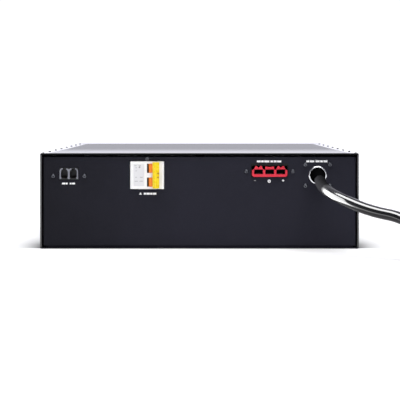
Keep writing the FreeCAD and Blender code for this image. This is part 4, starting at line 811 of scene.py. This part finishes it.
def studio():
    world = bpy.data.worlds.new("studio")
    scene.world = world
    world.use_nodes = True
    tree = world.node_tree
    background = tree.nodes["Background"]
    background.inputs["Color"].default_value = (0.904, 0.904, 1, 1)
    rays = tree.nodes.new("ShaderNodeLightPath")
    way = tree.nodes.new("ShaderNodeTexCoord")
    spread = tree.nodes.new("ShaderNodeSeparateXYZ")
    tree.links.new(way.outputs["Generated"], spread.inputs["Vector"])
    backdrop = tree.nodes.new("ShaderNodeMapRange")
    backdrop.interpolation_type = "SMOOTHSTEP"
    limits = {"From Min": -0.1, "From Max": 0.7, "To Min": BEFORE, "To Max": BEHIND}
    for socket, amount in limits.items():
        backdrop.inputs[socket].default_value = amount
    tree.links.new(spread.outputs["Y"], backdrop.inputs["Value"])
    choice = tree.nodes.new("ShaderNodeMix")
    choice.inputs["B"].default_value = SEEN
    tree.links.new(rays.outputs["Is Camera Ray"], choice.inputs["Factor"])
    tree.links.new(backdrop.outputs["Result"], choice.inputs["A"])
    tree.links.new(choice.outputs["Result"], background.inputs["Strength"])


studio()


def aim(made, where, target):
    made.location = where
    made.rotation_euler = (Vector(target) - Vector(where)).to_track_quat("-Z", "Y").to_euler()


def softbox(name, where, target, wide, high, power):
    shape = bpy.data.lights.new(name, "AREA")
    shape.shape = "RECTANGLE"
    shape.size = wide
    shape.size_y = high
    shape.energy = power
    made = bpy.data.objects.new(name, shape)
    scene.collection.objects.link(made)
    aim(made, where, target)
    return made


# One wide lamp overhead lights the floor evenly, and a softbox in front lights the panel
sky = bpy.data.lights.new("overhead", "SUN")
sky.energy = 3.1
sky.angle = math.radians(50)
overhead = bpy.data.objects.new("overhead", sky)
scene.collection.objects.link(overhead)
aim(overhead, (0, -0.45, 2.0), (0, 0, 0))
softbox("front", (0.7, -2.6, 1.5), (0.05, -0.3, 0.08), wide=1.4, high=0.5, power=13)

# Lamps that reach the cord alone, for its long streaks: over it, at the table, beside the panel
SIDE_LAMP_Y = FACE_Y - 88.5 * MM
glossy = bpy.data.collections.new("glossy_cord")
glossy.objects.link(cord)
for strip in (
    softbox("streak_over", (-0.1, -0.57, 0.9), (0.22, -0.43, 0.06), wide=0.7, high=0.5, power=42),
    softbox("streak_under", (-0.165, -0.56, 0.002), (-0.165, -0.56, 1.0),
            wide=0.37, high=0.37, power=4),
    softbox("streak_side", (0.1, SIDE_LAMP_Y, 0.075), (1.0, SIDE_LAMP_Y, 0.075),
            wide=0.121, high=0.11, power=1.5),
):
    strip.light_linking.receiver_collection = glossy
    strip.visible_camera = False

# Camera: level, with its frame shifted down to the module
camera_data = bpy.data.cameras.new("camera")
camera_data.lens = 127.68
camera_data.sensor_width = 36.0
camera_data.shift_x = -0.00125
camera_data.shift_y = -0.213
camera_data.clip_start = 0.05
camera = bpy.data.objects.new("camera", camera_data)
scene.collection.objects.link(camera)
camera.location = (0.0014, -2.253, 0.1836)
camera.rotation_euler = (math.pi / 2, 0, 0)
scene.camera = camera
